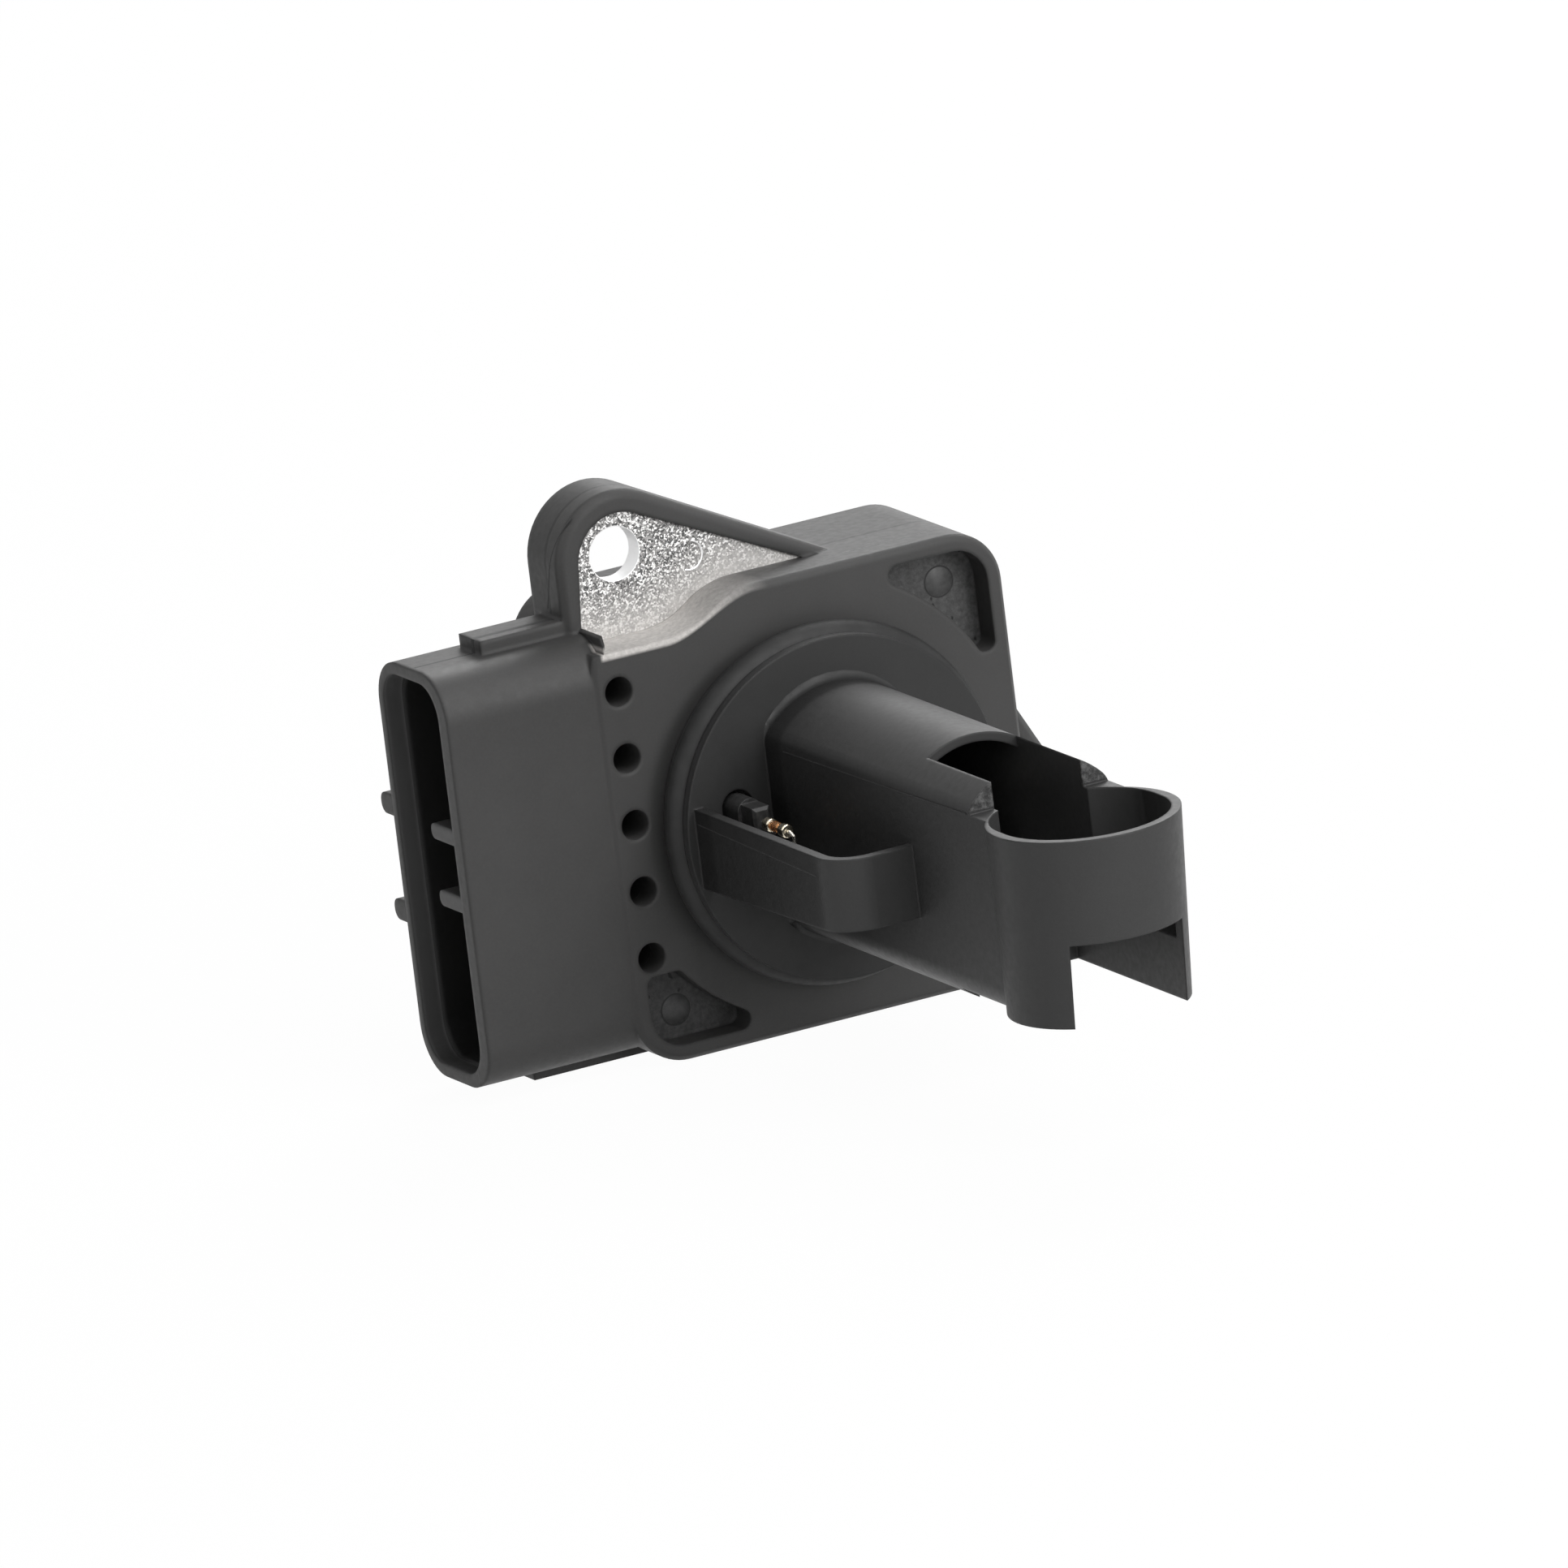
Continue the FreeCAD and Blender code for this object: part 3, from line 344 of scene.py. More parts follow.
def plastic_tone(m, shade, warm=0.0):
    """Colour and fine height of glass-filled plastic: grain, faint clouds, pale fibre flecks."""
    clouds = m.spread(m.noise(0.12, 3.0, 0.6), 0.3, 0.7)
    fine = m.noise(5.0, 3.0, 0.65)
    flecks = m.spread(m.specks(4.5), 0.10, 0.02)
    tone = m.blend(clouds, grey(shade * 0.94, warm), grey(shade * 1.06, warm))
    tone = m.blend(m.spread(fine, 0.4, 0.7, 0.0, 0.3), tone, grey(shade * 1.3, warm))
    tone = m.blend(m.times(flecks, 0.25), tone, grey(shade * 2.2, warm))
    return tone, fine


def moulded(name, shade, rough, grain, warm=0.0):
    """Plain moulded plastic."""
    m = Material(name)
    tone, fine = plastic_tone(m, shade, warm)
    gloss = m.spread(m.noise(1.6, 2.0), 0.3, 0.7, rough - 0.04, rough + 0.05)
    normal = m.bump(fine, GRAIN_DEPTH * grain, 0.8, m.soft_edges(SOFT_EDGE))
    return m.shader(tone, gloss, normal, Specular_IOR_Level=PLASTIC_SPECULAR)


def ledge_share(m, along, across, near_mm, far_mm):
    """One beside the S-shaped ledge of the body, falling to nought between two distances."""
    made = m.node("ShaderNodeMapRange", interpolation_type="SMOOTHSTEP")
    m.join(along, made.inputs["Value"])
    made.inputs["From Min"].default_value = RECESS_TURN_START * MM
    made.inputs["From Max"].default_value = RECESS_TURN_END * MM
    made.inputs["To Min"].default_value = RECESS_LOW * MM
    made.inputs["To Max"].default_value = BODY_HALF * MM
    away = m.calc("ABSOLUTE", m.calc("SUBTRACT", across, made.outputs["Result"]))
    return m.spread(away, near_mm * MM, far_mm * MM, 1.0, 0.0)


def housing_plastic():
    """The body's plastic: painted shade deep in the mouth and painted light on its lead-in, rough in the
    pockets, a band of painted shade on top, dusty by the metal.
    """
    m = Material("housing_moulded")
    tone, fine = plastic_tone(m, HOUSING_SHADE, 0.01)
    x, y, z = (m.axis(name) for name in "XYZ")
    inside = m.times(m.window(y, MOUTH_FRONT, MOUTH_BACK + 0.1),
                     m.window(z, MOUTH_LOW, MOUTH_HIGH))
    # Painted light: the lead-in strip on the mouth's far wall is made paler, as where light reaches it
    lit_lead_in = m.times(inside, m.window(x, MOUTH_X + 0.15, MOUTH_X + LEAD_IN))
    tone = m.blend(lit_lead_in, tone, grey(HOUSING_SHADE * 1.7))
    # Painted shade: deeper in the mouth the colour is made near black
    deep_shade = m.times(inside, m.window(x, MOUTH_X + LEAD_IN + 0.1, MOUTH_SHADE_END))
    tone = m.cover(tone, deep_shade, 0.85, grey(PAINTED_DEEP_SHADE))
    corner = m.spread(m.times(x, z), CORNER_START * MM ** 2, CORNER_FULL * MM ** 2)
    floor = m.times(corner, m.window(y, POCKET_DEPTH - 0.06, POCKET_DEPTH + 0.06, 0.05))
    coarse = m.noise(2.2, 4.0, 0.75)
    pits = m.times(floor, m.spread(m.noise(0.9, 1.0, 0.5), 0.70, 0.74))
    rough_tone = m.blend(m.spread(coarse, 0.38, 0.66), grey(HOUSING_SHADE), grey(HOUSING_SHADE * 2.1))
    tone = m.cover(tone, floor, 0.85, rough_tone)
    tone = m.blend(pits, tone, grey(0.008))
    # Painted shade: a darker band across the top behind its step; the thin dark line at the step is the
    # parting line
    on_top = m.spread(z, (BODY_HALF - 0.3) * MM, (BODY_HALF - 0.1) * MM)
    top_shade_band = m.times(on_top, m.window(y, TOP_LINE_Y, TOP_BAND_END, 0.3))
    tone = m.cover(tone, top_shade_band, 0.35, grey(HOUSING_SHADE * 0.5))
    line = m.times(on_top, m.window(y, TOP_LINE_Y - 0.3, TOP_LINE_Y, 0.1))
    tone = m.cover(tone, line, 0.8, grey(0.006))
    shelf = m.times(ledge_share(m, x, z, 0.4, 0.7), m.window(y, -0.1, FRONT_WALL - 0.1, 0.5))
    shelf = m.times(shelf, m.spread(x, DUST_FADE_START * MM, DUST_FADE_END * MM, 1.0, 0.0))
    shelf = m.times(shelf, m.spread(x, DUST_START * MM, (DUST_START + 0.3) * MM))
    dusty = m.blend(m.spread(coarse, 0.35, 0.7), grey(0.42, 0.04), grey(0.62, 0.04))
    tone = m.cover(tone, shelf, 0.95, dusty)
    gloss = m.spread(m.noise(1.6, 2.0), 0.3, 0.7, 0.46, 0.55)
    height = m.plus(fine, m.times(m.times(floor, coarse), 8.0))
    normal = m.bump(height, GRAIN_DEPTH, 0.8, m.soft_edges(BODY_SOFT_EDGE))
    return m.shader(tone, gloss, normal, Specular_IOR_Level=PLASTIC_SPECULAR)


def probe_plastic():
    """The probe's plastic: torn at the gate, with painted shade in the sleeve's bore, at the stem's root
    and on the left sides.
    """
    m = Material("probe_moulded")
    tone, fine = plastic_tone(m, PROBE_SHADE)
    x, y, z = (m.axis(name) for name in "XYZ")
    near_end = m.spread(m.calc("ABSOLUTE", m.plus(y, WALL_END * MM)), 0.3 * MM, 0.1 * MM)
    torn = m.times(near_end, m.spread(z, (SLEEVE_TOP + 0.1) * MM, (SLEEVE_TOP + 0.3) * MM))
    coarse = m.noise(1.9, 4.0, 0.75)
    torn_tone = m.blend(m.spread(coarse, 0.42, 0.68), grey(0.03), grey(0.13))
    tone = m.blend(torn, tone, torn_tone)
    # Painted shade: inside the sleeve's bore the colour is made near black; the bore is also made rougher
    across = m.times(x, x)
    up_share = m.spread(z, SLEEVE_FOOT * MM, SLEEVE_TOP * MM)
    ahead = m.plus(y, m.times(m.calc("SUBTRACT", 1.0, up_share), -SLEEVE_LEAN * MM))
    ahead = m.plus(ahead, -SLEEVE_Y * MM)
    limit = m.spread(up_share, 0.0, 1.0, WALL_MIDDLE_FOOT_R * MM, WALL_MIDDLE_TOP_R * MM)
    away = m.calc("SQRT", m.plus(across, m.times(ahead, ahead)))
    shaded_bore = m.spread(m.calc("SUBTRACT", away, limit), -0.1 * MM, 0.1 * MM, 1.0, 0.0)
    shaded_bore = m.times(shaded_bore, m.window(z, SLEEVE_FOOT + 0.3, SLEEVE_TOP - 0.1))
    tone = m.cover(tone, shaded_bore, 0.85, grey(PAINTED_DEEP_SHADE))
    # Painted shade: darker on the stem and its fillet next to the spigot's face
    root = m.window(y, -SPIGOT_LENGTH - ROOT_SHADE_LENGTH, -SPIGOT_LENGTH - 0.25, 0.7)
    tone = m.cover(tone, root, 0.5, grey(PAINTED_SIDE_SHADE))
    # Painted shade on the guard strap's flat left face and on the stem's left flank, which face away from
    # the lamps; none on the spigot
    free = m.spread(y, -(SPIGOT_LENGTH + 0.2) * MM, -(SPIGOT_LENGTH + 0.1) * MM, 1.0, 0.0)
    strap_shade = m.times(m.window(x, GUARD_X - 0.1, GUARD_X + 0.1),
                   m.window(y, GUARD_FLAT_END, GUARD_FLAT_START, 1.5))
    tone = m.cover(tone, m.times(strap_shade, free), 0.55, grey(PAINTED_SIDE_SHADE))
    flank_shade = m.window(x, -STEM_HALF_WIDTH - 0.1, -STEM_HALF_WIDTH + 0.1, 0.15)
    flank_shade = m.times(flank_shade, m.spread(y, FLANK_SHADE_NONE * MM, FLANK_SHADE_FULL * MM))
    tone = m.cover(tone, m.times(flank_shade, free), 0.6, grey(PAINTED_SIDE_SHADE))
    gloss = m.calc("MAXIMUM", m.spread(m.noise(1.6, 2.0), 0.3, 0.7, 0.44, 0.54), shaded_bore)
    height = m.plus(fine, m.times(torn, m.times(coarse, 24.0)))
    normal = m.bump(height, GRAIN_DEPTH, 0.8, m.soft_edges(SOFT_EDGE))
    return m.shader(tone, gloss, normal, Specular_IOR_Level=PLASTIC_SPECULAR)


def plated_steel():
    """Grainy zinc skin of dark and bright crystals, filled with pale dust along the ledge."""
    m = Material("plate_metal")
    x, z = (m.axis(name) for name in "XZ")
    fine = m.noise(7.0, 3.0, 0.8)
    grain = m.plus(m.times(m.crystals(6.5), 0.5), m.times(fine, 0.5))
    tone = m.blend(m.spread(grain, 0.34, 0.50), grey(0.08), grey(0.30, 0.02))
    tone = m.blend(m.spread(grain, 0.57, 0.68), tone, grey(0.92, 0.01))
    patches = m.spread(m.noise(0.5, 3.0, 0.6), 0.35, 0.65, 0.75, 1.0)
    dust = m.times(ledge_share(m, x, z, 0.6, 4.6), patches)
    tone = m.cover(tone, dust, 0.85, grey(0.52, 0.03))
    aside = m.plus(x, -EAR_HOLE[0] * MM)
    above = m.plus(z, -EAR_HOLE[1] * MM)
    away = m.plus(m.times(aside, aside), m.times(above, above))
    edge = EAR_HOLE_R + 0.03
    in_hole = m.spread(m.calc("SQRT", away), edge * MM, (edge + 0.05) * MM, 1.0, 0.0)
    tone = m.blend(in_hole, tone, grey(0.98))
    gloss = m.spread(fine, 0.3, 0.7, 0.42, 0.65)
    normal = m.bump(grain, 0.03, 0.6, m.soft_edges(0.15))
    return m.shader(tone, gloss, normal, Metallic=0.75)


def rubber():
    """Black seal rubber with a faint bloom."""
    m = Material("seal_rubber_moulded")
    bloom = m.spread(m.noise(0.5, 4.0, 0.6), 0.4, 0.75)
    tone = m.blend(bloom, grey(0.018), grey(0.028))
    gloss = m.spread(m.noise(2.0, 2.0), 0.3, 0.7, 0.5, 0.62)
    normal = m.bump(m.noise(4.0, 2.0), GRAIN_DEPTH, 0.6)
    return m.shader(tone, gloss, normal, Specular_IOR_Level=PLASTIC_SPECULAR)


def metal(name, colour, rough):
    """Bare or plated metal with fine marks."""
    m = Material(name)
    marks = m.noise(6.0, 3.0, 0.6)
    dull = m.spread(m.noise(0.8, 2.0), 0.35, 0.7)
    darker = tuple(c * 0.78 for c in colour[:3]) + (1.0,)
    tone = m.blend(dull, colour, darker)
    gloss = m.spread(marks, 0.3, 0.7, rough - 0.06, rough + 0.1)
    normal = m.bump(marks, 0.008, 0.6, m.soft_edges(0.08))
    return m.shader(tone, gloss, normal, Metallic=1.0)


def glass():
    """Amber glass round the sensing bead."""
    m = Material("bead_glass")
    swirl = m.spread(m.noise(1.5, 3.0), 0.35, 0.65)
    tone = m.blend(swirl, (0.95, 0.52, 0.26, 1.0), (0.88, 0.42, 0.2, 1.0))
    normal = m.bump(m.noise(2.0, 1.0), 0.01, 0.4)
    return m.shader(tone, 0.08, normal, Transmission_Weight=0.75, IOR=1.5)


def speckled(name, first, second, rough, per_mm=2.0):
    """A matt surface of two close tones, for small inner parts."""
    m = Material(name)
    patches = m.spread(m.noise(per_mm, 3.0, 0.6), 0.35, 0.65)
    tone = m.blend(patches, first, second)
    gloss = m.spread(m.noise(per_mm * 2, 2.0), 0.3, 0.7, rough - 0.05, rough + 0.05)
    normal = m.bump(m.noise(per_mm * 3, 2.0), 0.01, 0.7, m.soft_edges(0.1))
    return m.shader(tone, gloss, normal)


# Small helpers for mesh pieces


def piece(name, vertices, faces, material, facing=None):
    """A mesh piece in millimetres that rides on the body. An open one faces a given way."""
    mesh = bpy.data.meshes.new(name)
    mesh.from_pydata([Vector(v) * MM for v in vertices], [], faces)
    mesh.validate()
    work = bmesh.new()
    work.from_mesh(mesh)
    bmesh.ops.recalc_face_normals(work, faces=work.faces)
    work.to_mesh(mesh)
    work.free()
    if facing is not None:
        leaning = sum((face.normal * face.area for face in mesh.polygons), Vector())
        if leaning.dot(Vector(facing)) < 0:
            mesh.flip_normals()
    for face in mesh.polygons:
        face.use_smooth = True
    mesh.materials.append(material)
    made = bpy.data.objects.new(name, mesh)
    bpy.context.scene.collection.objects.link(made)
    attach(made, "root")
    return made


def lathe(profile, centre, steps=64, closed=False):
    """Turns an (r, y) profile round the axis along Y through centre (x, z)."""
    vertices = []
    faces = []
    count = len(profile)
    for i in range(steps):
        angle = 2 * math.pi * i / steps
        for r, y in profile:
            vertices.append((centre[0] + r * math.cos(angle), y, centre[1] + r * math.sin(angle)))
    spans = count if closed else count - 1
    for i in range(steps):
        here = i * count
        there = (i + 1) % steps * count
        for j in range(spans):
            k = (j + 1) % count
            faces.append((here + j, here + k, there + k, there + j))
    return vertices, faces


def strip(path, normals, width, height):
    """A low ridge with a round back along a path, on a surface with the given normals."""
    vertices = []
    faces = []
    across = 5
    for i, (point, normal) in enumerate(zip(path, normals)):
        here = Vector(point)
        ahead = Vector(path[min(i + 1, len(path) - 1)]) - Vector(path[max(i - 1, 0)])
        up = Vector(normal).normalized()
        side = ahead.cross(up).normalized()
        for j in range(across):
            share = 2 * j / (across - 1) - 1
            rise = height * (1 - share ** 2) - SUNK
            vertices.append(here + side * (share * width / 2) + up * rise)
    for i in range(len(path) - 1):
        for j in range(across - 1):
            a = i * across + j
            faces.append((a, a + 1, a + across + 1, a + across))
    return vertices, faces


def stem_outline():
    """The stem's outline at its root as (x, z) points with their outward directions."""
    steps = 10
    inner = DOME_R - DOME_BLEND_R
    blend_x = STEM_HALF_WIDTH - DOME_BLEND_R
    blend_z = DOME_CENTRE + math.sqrt(inner ** 2 - blend_x ** 2)
    dome_angle = math.atan2(blend_z - DOME_CENTRE, blend_x)
    points = []

    def sweep(cx, cz, radius, start, end):
        for i in range(steps + 1):
            a = start + (end - start) * i / steps
            points.append(((cx + radius * math.cos(a), cz + radius * math.sin(a)),
                           (math.cos(a), math.sin(a))))

    sweep(blend_x, blend_z, DOME_BLEND_R, 0.0, dome_angle)
    sweep(0, DOME_CENTRE, DOME_R, dome_angle, math.pi - dome_angle)
    sweep(-blend_x, blend_z, DOME_BLEND_R, math.pi - dome_angle, math.pi)
    lower = [((-x, -z), (-dx, -dz)) for (x, z), (dx, dz) in points]
    return points + lower


def root_fillet(material):
    """The hollow where the stem leaves the spigot's face: round over the domes, sharp at the sides."""
    outline = stem_outline()
    steps = 12
    vertices = []
    faces = []
    for (x, z), (dx, dz) in outline:
        r = max(ROOT_FILLET_R * abs(dz) ** 1.5, ROOT_SIDE_R)
        for j in range(steps + 1):
            a = math.pi / 2 * j / steps
            out = r - r * math.sin(a) - SUNK
            along = r - r * math.cos(a) - SUNK
            vertices.append((x + dx * out, -SPIGOT_LENGTH - along, z + dz * out))
    count = len(outline)
    row = steps + 1
    for i in range(count):
        k = (i + 1) % count
        for j in range(steps):
            faces.append((i * row + j, i * row + j + 1, k * row + j + 1, k * row + j))
    piece("stem_root_fillet", vertices, faces, material, AHEAD)


def seal_ring(material):
    """The round seal ring with the fine moulding line on its outside."""
    middle = -(GROOVE_START + SPIGOT_LENGTH - SPIGOT_LIP) / 2
    centre_r = GROOVE_R + RING_SECTION_R
    section = []
    steps = 48
    for i in range(steps):
        a = 2 * math.pi * i / steps
        r = RING_SECTION_R
        if i == 0:
            r += RING_LINE
        section.append((centre_r + r * math.cos(a), middle + r * math.sin(a)))
    vertices, faces = lathe(section, (0, 0), 160, closed=True)
    ring = piece("seal_ring_round", vertices, faces, material)
    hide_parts("o_ring")


def bead(glass_material, metal_material):
    """The glass body of the temperature element between its two metal collars."""
    centre = (ELEMENT_X, BEAD_Z)
    near = BEAD_NEAR - COLLAR_LENGTH * 0.75
    far = BEAD_FAR + COLLAR_LENGTH * 0.75
    profile = []
    steps = 16
    for i in range(steps + 1):
        share = i / steps
        y = near + (far - near) * share
        bulge = math.sin(math.pi * share)
        profile.append((BEAD_R * (0.82 + 0.18 * bulge ** 0.6), y))
    profile = [(0.02, near)] + profile + [(0.02, far)]
    vertices, faces = lathe(profile, centre, 40)
    body = piece("thermistor_glass_body", vertices, faces, glass_material)
    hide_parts("thermistor")
    edge = COLLAR_ROUNDING
    for number, start in enumerate((BEAD_NEAR, BEAD_FAR + COLLAR_LENGTH), start=1):
        end = start - COLLAR_LENGTH
        cap = [(0.2, start), (COLLAR_R - edge, start)]
        cap += [(COLLAR_R - edge + edge * math.sin(a), start - edge + edge * math.cos(a))
                for a in (0.4, 0.8, 1.2, 1.57)]
        back = [(r, start + end - y) for r, y in reversed(cap)]
        vertices, faces = lathe(cap + back, centre, 40)
        piece("thermistor_collar_" + str(number), vertices, faces, metal_material)
    pellet = [(0.02, -0.75), (0.2, -0.6), (0.27, -0.3), (0.28, 0.0), (0.27, 0.3), (0.2, 0.6),
              (0.02, 0.75)]
    middle = (BEAD_NEAR + BEAD_FAR) / 2
    vertices, faces = lathe([(r, middle + y) for r, y in pellet], centre, 24)
    piece("thermistor_pellet", vertices, faces, metal_material)


def ejector_mark(name, centre, material, groove):
    """The mark that an ejector pin left in a pocket: a flat disc inside a fine dark groove."""
    edge = EJECTOR_R
    disc = [(0.001, -0.02), (edge - 0.12, -0.02), (edge - 0.08, 0.01)]
    vertices, faces = lathe([(r, POCKET_DEPTH + d) for r, d in disc], centre, 48)
    piece(name, vertices, faces, material, AHEAD)
    ring = [(edge - 0.14, -0.018), (edge - 0.07, -0.03), (edge + 0.02, -0.012)]
    vertices, faces = lathe([(r, POCKET_DEPTH + d) for r, d in ring], centre, 64)
    piece(name + "_groove", vertices, faces, groove, AHEAD)


def line_mark(name, path, normals, width, height, material):
    """A fine raised or dark line along a path on a surface."""
    vertices, faces = strip(path, normals, width, height)
    piece(name, vertices, faces, material, normals[0])


def dimple_glint(material):
    """A painted highlight: a bright metal arc on the lit side of the round dimple that a moulding pin
    left on the metal ear; the dimple is real, its brightness on one side is painted light.
    """
    path = []
    steps = 24
    for i in range(steps + 1):
        a = math.radians(-115 + 190 * i / steps)
        path.append((DIMPLE[0] + DIMPLE_R * math.cos(a), FRONT_WALL, DIMPLE[1] + DIMPLE_R * math.sin(a)))
    line_mark("plate_dimple_glint", path, [AHEAD] * len(path), 0.2, 0.06, material)


def seam_lines(material):
    """The fine parting lines that the mould left on the probe and the guard strap."""
    stem = [(STEM_HALF_WIDTH, y, STEM_SEAM_AT[1] + (y - STEM_SEAM_AT[0]) * STEM_SEAM_SLOPE)
            for y in STEM_SEAM_Y]
    guard = [(GUARD_X, y, GUARD_SEAM_AT[1] + (y - GUARD_SEAM_AT[0]) * GUARD_SEAM_SLOPE)
             for y in GUARD_SEAM_Y]
    for name, path, facing in (
        ("stem_seam_left", [(-x, y, z) for x, y, z in stem], LEFT),
        ("stem_seam_right", stem, RIGHT),
        ("guard_seam", guard, LEFT),
    ):
        line_mark(name, path, [facing] * len(path), SEAM_WIDTH, SEAM_HEIGHT, material)


def dark_joints(material):
    """The dark joint lines on the connector's top, on its block and down the ear's side."""
    ahead = [(x, BLOCK_LINE_Y, SHROUD_TOP) for x in CONNECTOR_LINE_X]
    line_mark("connector_joint", ahead, [UP] * len(ahead), 0.5, 0.025, material)
    top = [(x, BLOCK_LINE_Y, BLOCK_TOP) for x in BLOCK_LINE_X]
    line_mark("block_joint_top", top, [UP] * len(top), 0.9, JOINT_HEIGHT, material)
    end = [(BLOCK_END, BLOCK_LINE_Y, z) for z in BLOCK_LINE_Z]
    line_mark("block_joint_end", end, [LEFT] * len(end), 0.8, JOINT_HEIGHT, material)
    path = []
    normals = []
    steps = 12
    for i in range(steps + 1):
        y = EAR_LINE_FOOT[0] - EAR_LINE_LEAN * i / steps
        z = EAR_LINE_FOOT[1] + EAR_LINE_RISE * i / steps
        rise = max(0.0, z - EAR_CENTRE[1])
        reach = math.sqrt(EAR_R ** 2 - rise ** 2)
        path.append((EAR_CENTRE[0] - reach, y, z))
        normals.append((-reach, 0, rise))
    line_mark("ear_joint", path, normals, 0.3, JOINT_HEIGHT, material)


# Lamps, floor and camera


def lamp(name, place, power):
    """A soft square lamp that faces the object."""
    data = bpy.data.lights.new(name, "AREA")
    data.shape = "SQUARE"
    data.size = LAMP_SIZE
    data.energy = power
    made = bpy.data.objects.new(name, data)
    made.location = place
    made.rotation_mode = "QUATERNION"
    made.rotation_quaternion = (Vector(LAMP_AIM) - Vector(place)).to_track_quat("-Z", "Y")
    bpy.context.scene.collection.objects.link(made)


def white_rays(tree):
    """One for the rays that see the background straight, in gloss or through glass."""
    path = tree.nodes.new("ShaderNodeLightPath")
    total = path.outputs["Is Camera Ray"]
    for name in ("Is Glossy Ray", "Is Transmission Ray"):
        larger = tree.nodes.new("ShaderNodeMath")
        larger.operation = "MAXIMUM"
        tree.links.new(total, larger.inputs[0])
        tree.links.new(path.outputs[name], larger.inputs[1])
        total = larger.outputs[0]
    return total


def studio():
    """White surroundings, a pale floor that keeps a faint shadow, and the soft lamps."""
    world = bpy.data.worlds.new("studio")
    bpy.context.scene.world = world
    world.use_nodes = True
    tree = world.node_tree
    background = tree.nodes["Background"]
    background.inputs["Color"].default_value = (1.0, 1.0, 1.0, 1.0)
    level = tree.nodes.new("ShaderNodeMapRange")
    level.inputs["To Min"].default_value = WORLD_LIGHT
    level.inputs["To Max"].default_value = 1.0
    tree.links.new(white_rays(tree), level.inputs["Value"])
    tree.links.new(level.outputs["Result"], background.inputs["Strength"])

    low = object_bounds()[0].z
    bpy.ops.mesh.primitive_grid_add(x_subdivisions=4, y_subdivisions=4, size=FLOOR_SIZE,
                                    location=(0, 0, low - FLOOR_GAP * MM))
    floor = bpy.context.object
    floor.name = "floor"
    m = Material("floor_paper")
    paper = m.node("ShaderNodeBsdfDiffuse")
    m.put(paper.inputs["Color"], m.blend(m.noise(0.02), grey(0.86), grey(0.88)))
    glow = m.node("ShaderNodeEmission")
    mix = m.node("ShaderNodeMixShader")
    share = m.spread(white_rays(m.tree), 0.0, 1.0, 0.0, FLOOR_GLOW)
    m.join(share, mix.inputs["Fac"])
    m.join(paper.outputs[0], mix.inputs[1])
    m.join(glow.outputs[0], mix.inputs[2])
    m.join(mix.outputs[0], m.output.inputs["Surface"])
    floor.data.materials.append(m.data)
    floor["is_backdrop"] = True

    for name, place, power in LAMPS:
        lamp(name, place, power)


def camera():
    """The photograph's view."""
    data = bpy.data.cameras.new("camera")
    data.sensor_width = SENSOR
    data.lens = CAMERA_LENS
    data.clip_start = 0.1
    data.clip_end = 20.0
    made = bpy.data.objects.new("camera", data)
    place = (CAMERA_RIGHT * CAMERA_ASIDE + CAMERA_UP * CAMERA_RAISED + CAMERA_BACK * CAMERA_DISTANCE) * MM
    turn = Matrix((CAMERA_RIGHT, CAMERA_UP, CAMERA_BACK)).transposed().to_4x4()
    made.matrix_world = Matrix.Translation(place) @ turn
    bpy.context.scene.collection.objects.link(made)
    bpy.context.scene.camera = made


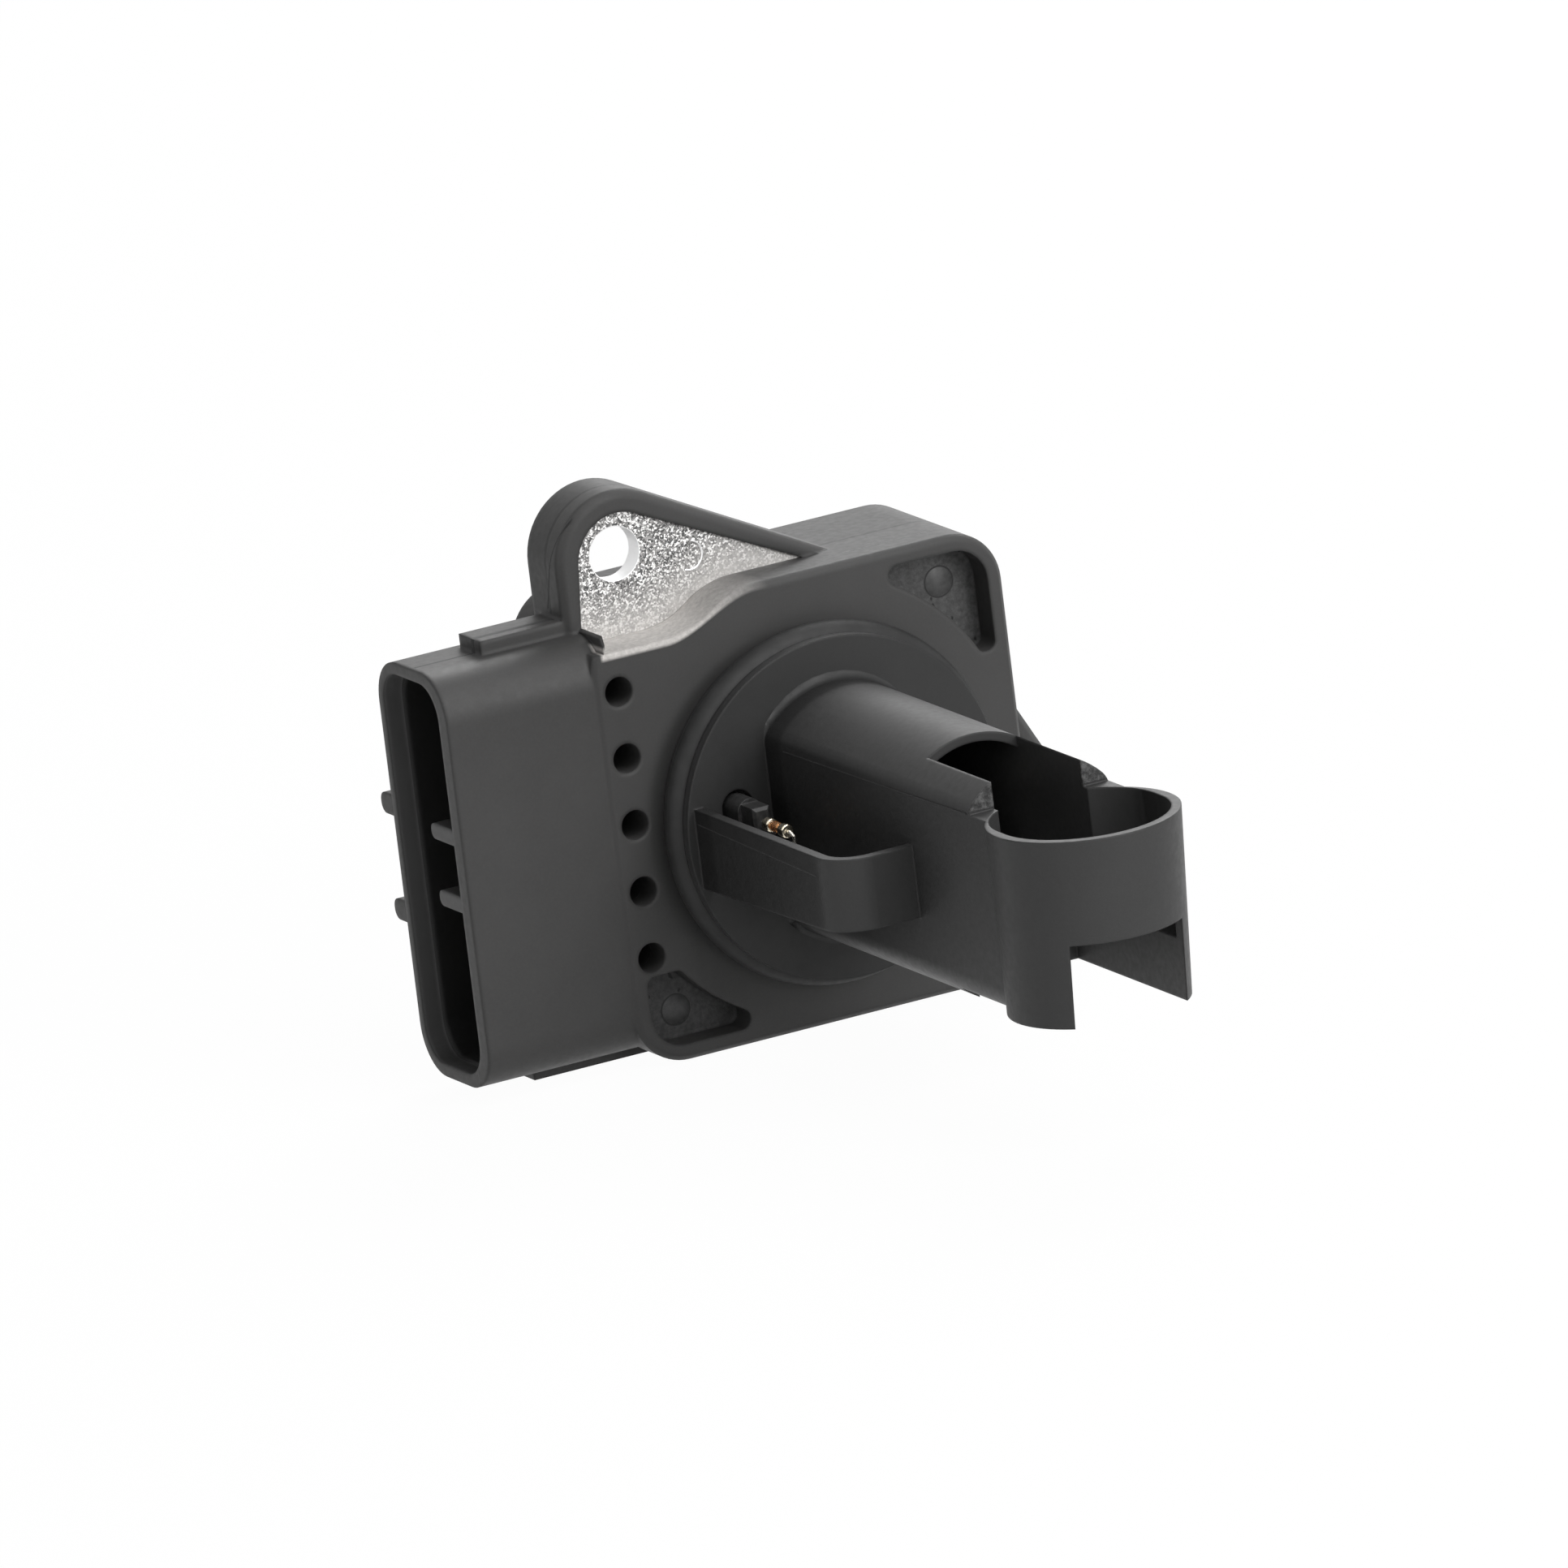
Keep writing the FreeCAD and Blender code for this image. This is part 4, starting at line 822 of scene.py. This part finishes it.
def dress(frame):
    """Gives each node of the CAD its material, and hands back the materials by node."""
    pins = metal("lead_bare", (0.75, 0.72, 0.66, 1.0), 0.25)
    looks = {
        "housing": housing_plastic(),
        "rear_cover": moulded("cover_moulded", HOUSING_SHADE * 0.95, 0.52, 1.2, 0.01),
        "cover_seal": speckled("sealant_cured", grey(0.06), grey(0.09), 0.5),
        "mounting_plate": plated_steel(),
        "probe": probe_plastic(),
        "o_ring": rubber(),
        "circuit_board": speckled("board_ceramic", grey(0.78, 0.03), grey(0.72, 0.03), 0.45),
        "control_chip": speckled("chip_resin", grey(0.03), grey(0.045), 0.5),
        "memory_chip": speckled("memory_resin", grey(0.035), grey(0.05), 0.5),
        "power_transistor": speckled("transistor_resin", grey(0.03), grey(0.04), 0.55),
        "capacitors": speckled("capacitor_ceramic", (0.5, 0.36, 0.22, 1), (0.58, 0.44, 0.3, 1), 0.4),
        "resistors": speckled("resistor_film", grey(0.02), grey(0.035), 0.35),
        "hot_element": speckled("element_glaze_hot", grey(0.72, 0.02), grey(0.62, 0.05), 0.2),
        "compensating_element": speckled("element_glaze", grey(0.75, 0.02), grey(0.66, 0.05), 0.2),
        "thermistor_holder": speckled("holder_resin", grey(0.016), grey(0.034), 0.45, 1.5),
        "thermistor": glass(),
    }
    for name, node in frame["nodes"].items():
        if name.startswith("terminal_"):
            look = metal("tin_" + name, (0.74, 0.73, 0.70, 1.0), 0.3)
        else:
            look = looks.get(name, pins)
        for slot in node.material_slots:
            slot.material = look
        if not node.material_slots:
            node.data.materials.append(look)
    return looks


def main():
    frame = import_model()
    camera()
    studio()
    looks = dress(frame)
    seal_ring(looks["o_ring"])
    root_fillet(looks["probe"])
    collar = metal("collar_metal", (0.86, 0.78, 0.62, 1.0), 0.2)
    bead(looks["thermistor"], collar)
    seam_lines(moulded("seam_plastic", HOUSING_SHADE, 0.48, 0.5))
    worn = speckled("ejector_face", grey(0.028), grey(0.052), 0.5, 1.4)
    groove = speckled("joint_dark", grey(0.006), grey(0.012), 0.7)
    ejector_mark("ejector_mark_upper", EJECTOR_UPPER, worn, groove)
    ejector_mark("ejector_mark_lower", EJECTOR_LOWER, worn, groove)
    dark_joints(groove)
    # Painted highlight on one side of the dimple on the metal ear
    dimple_glint(metal("plate_glint_metal", grey(0.95), 0.3))

    scene = bpy.context.scene
    scene.view_settings.view_transform = "Standard"


main()
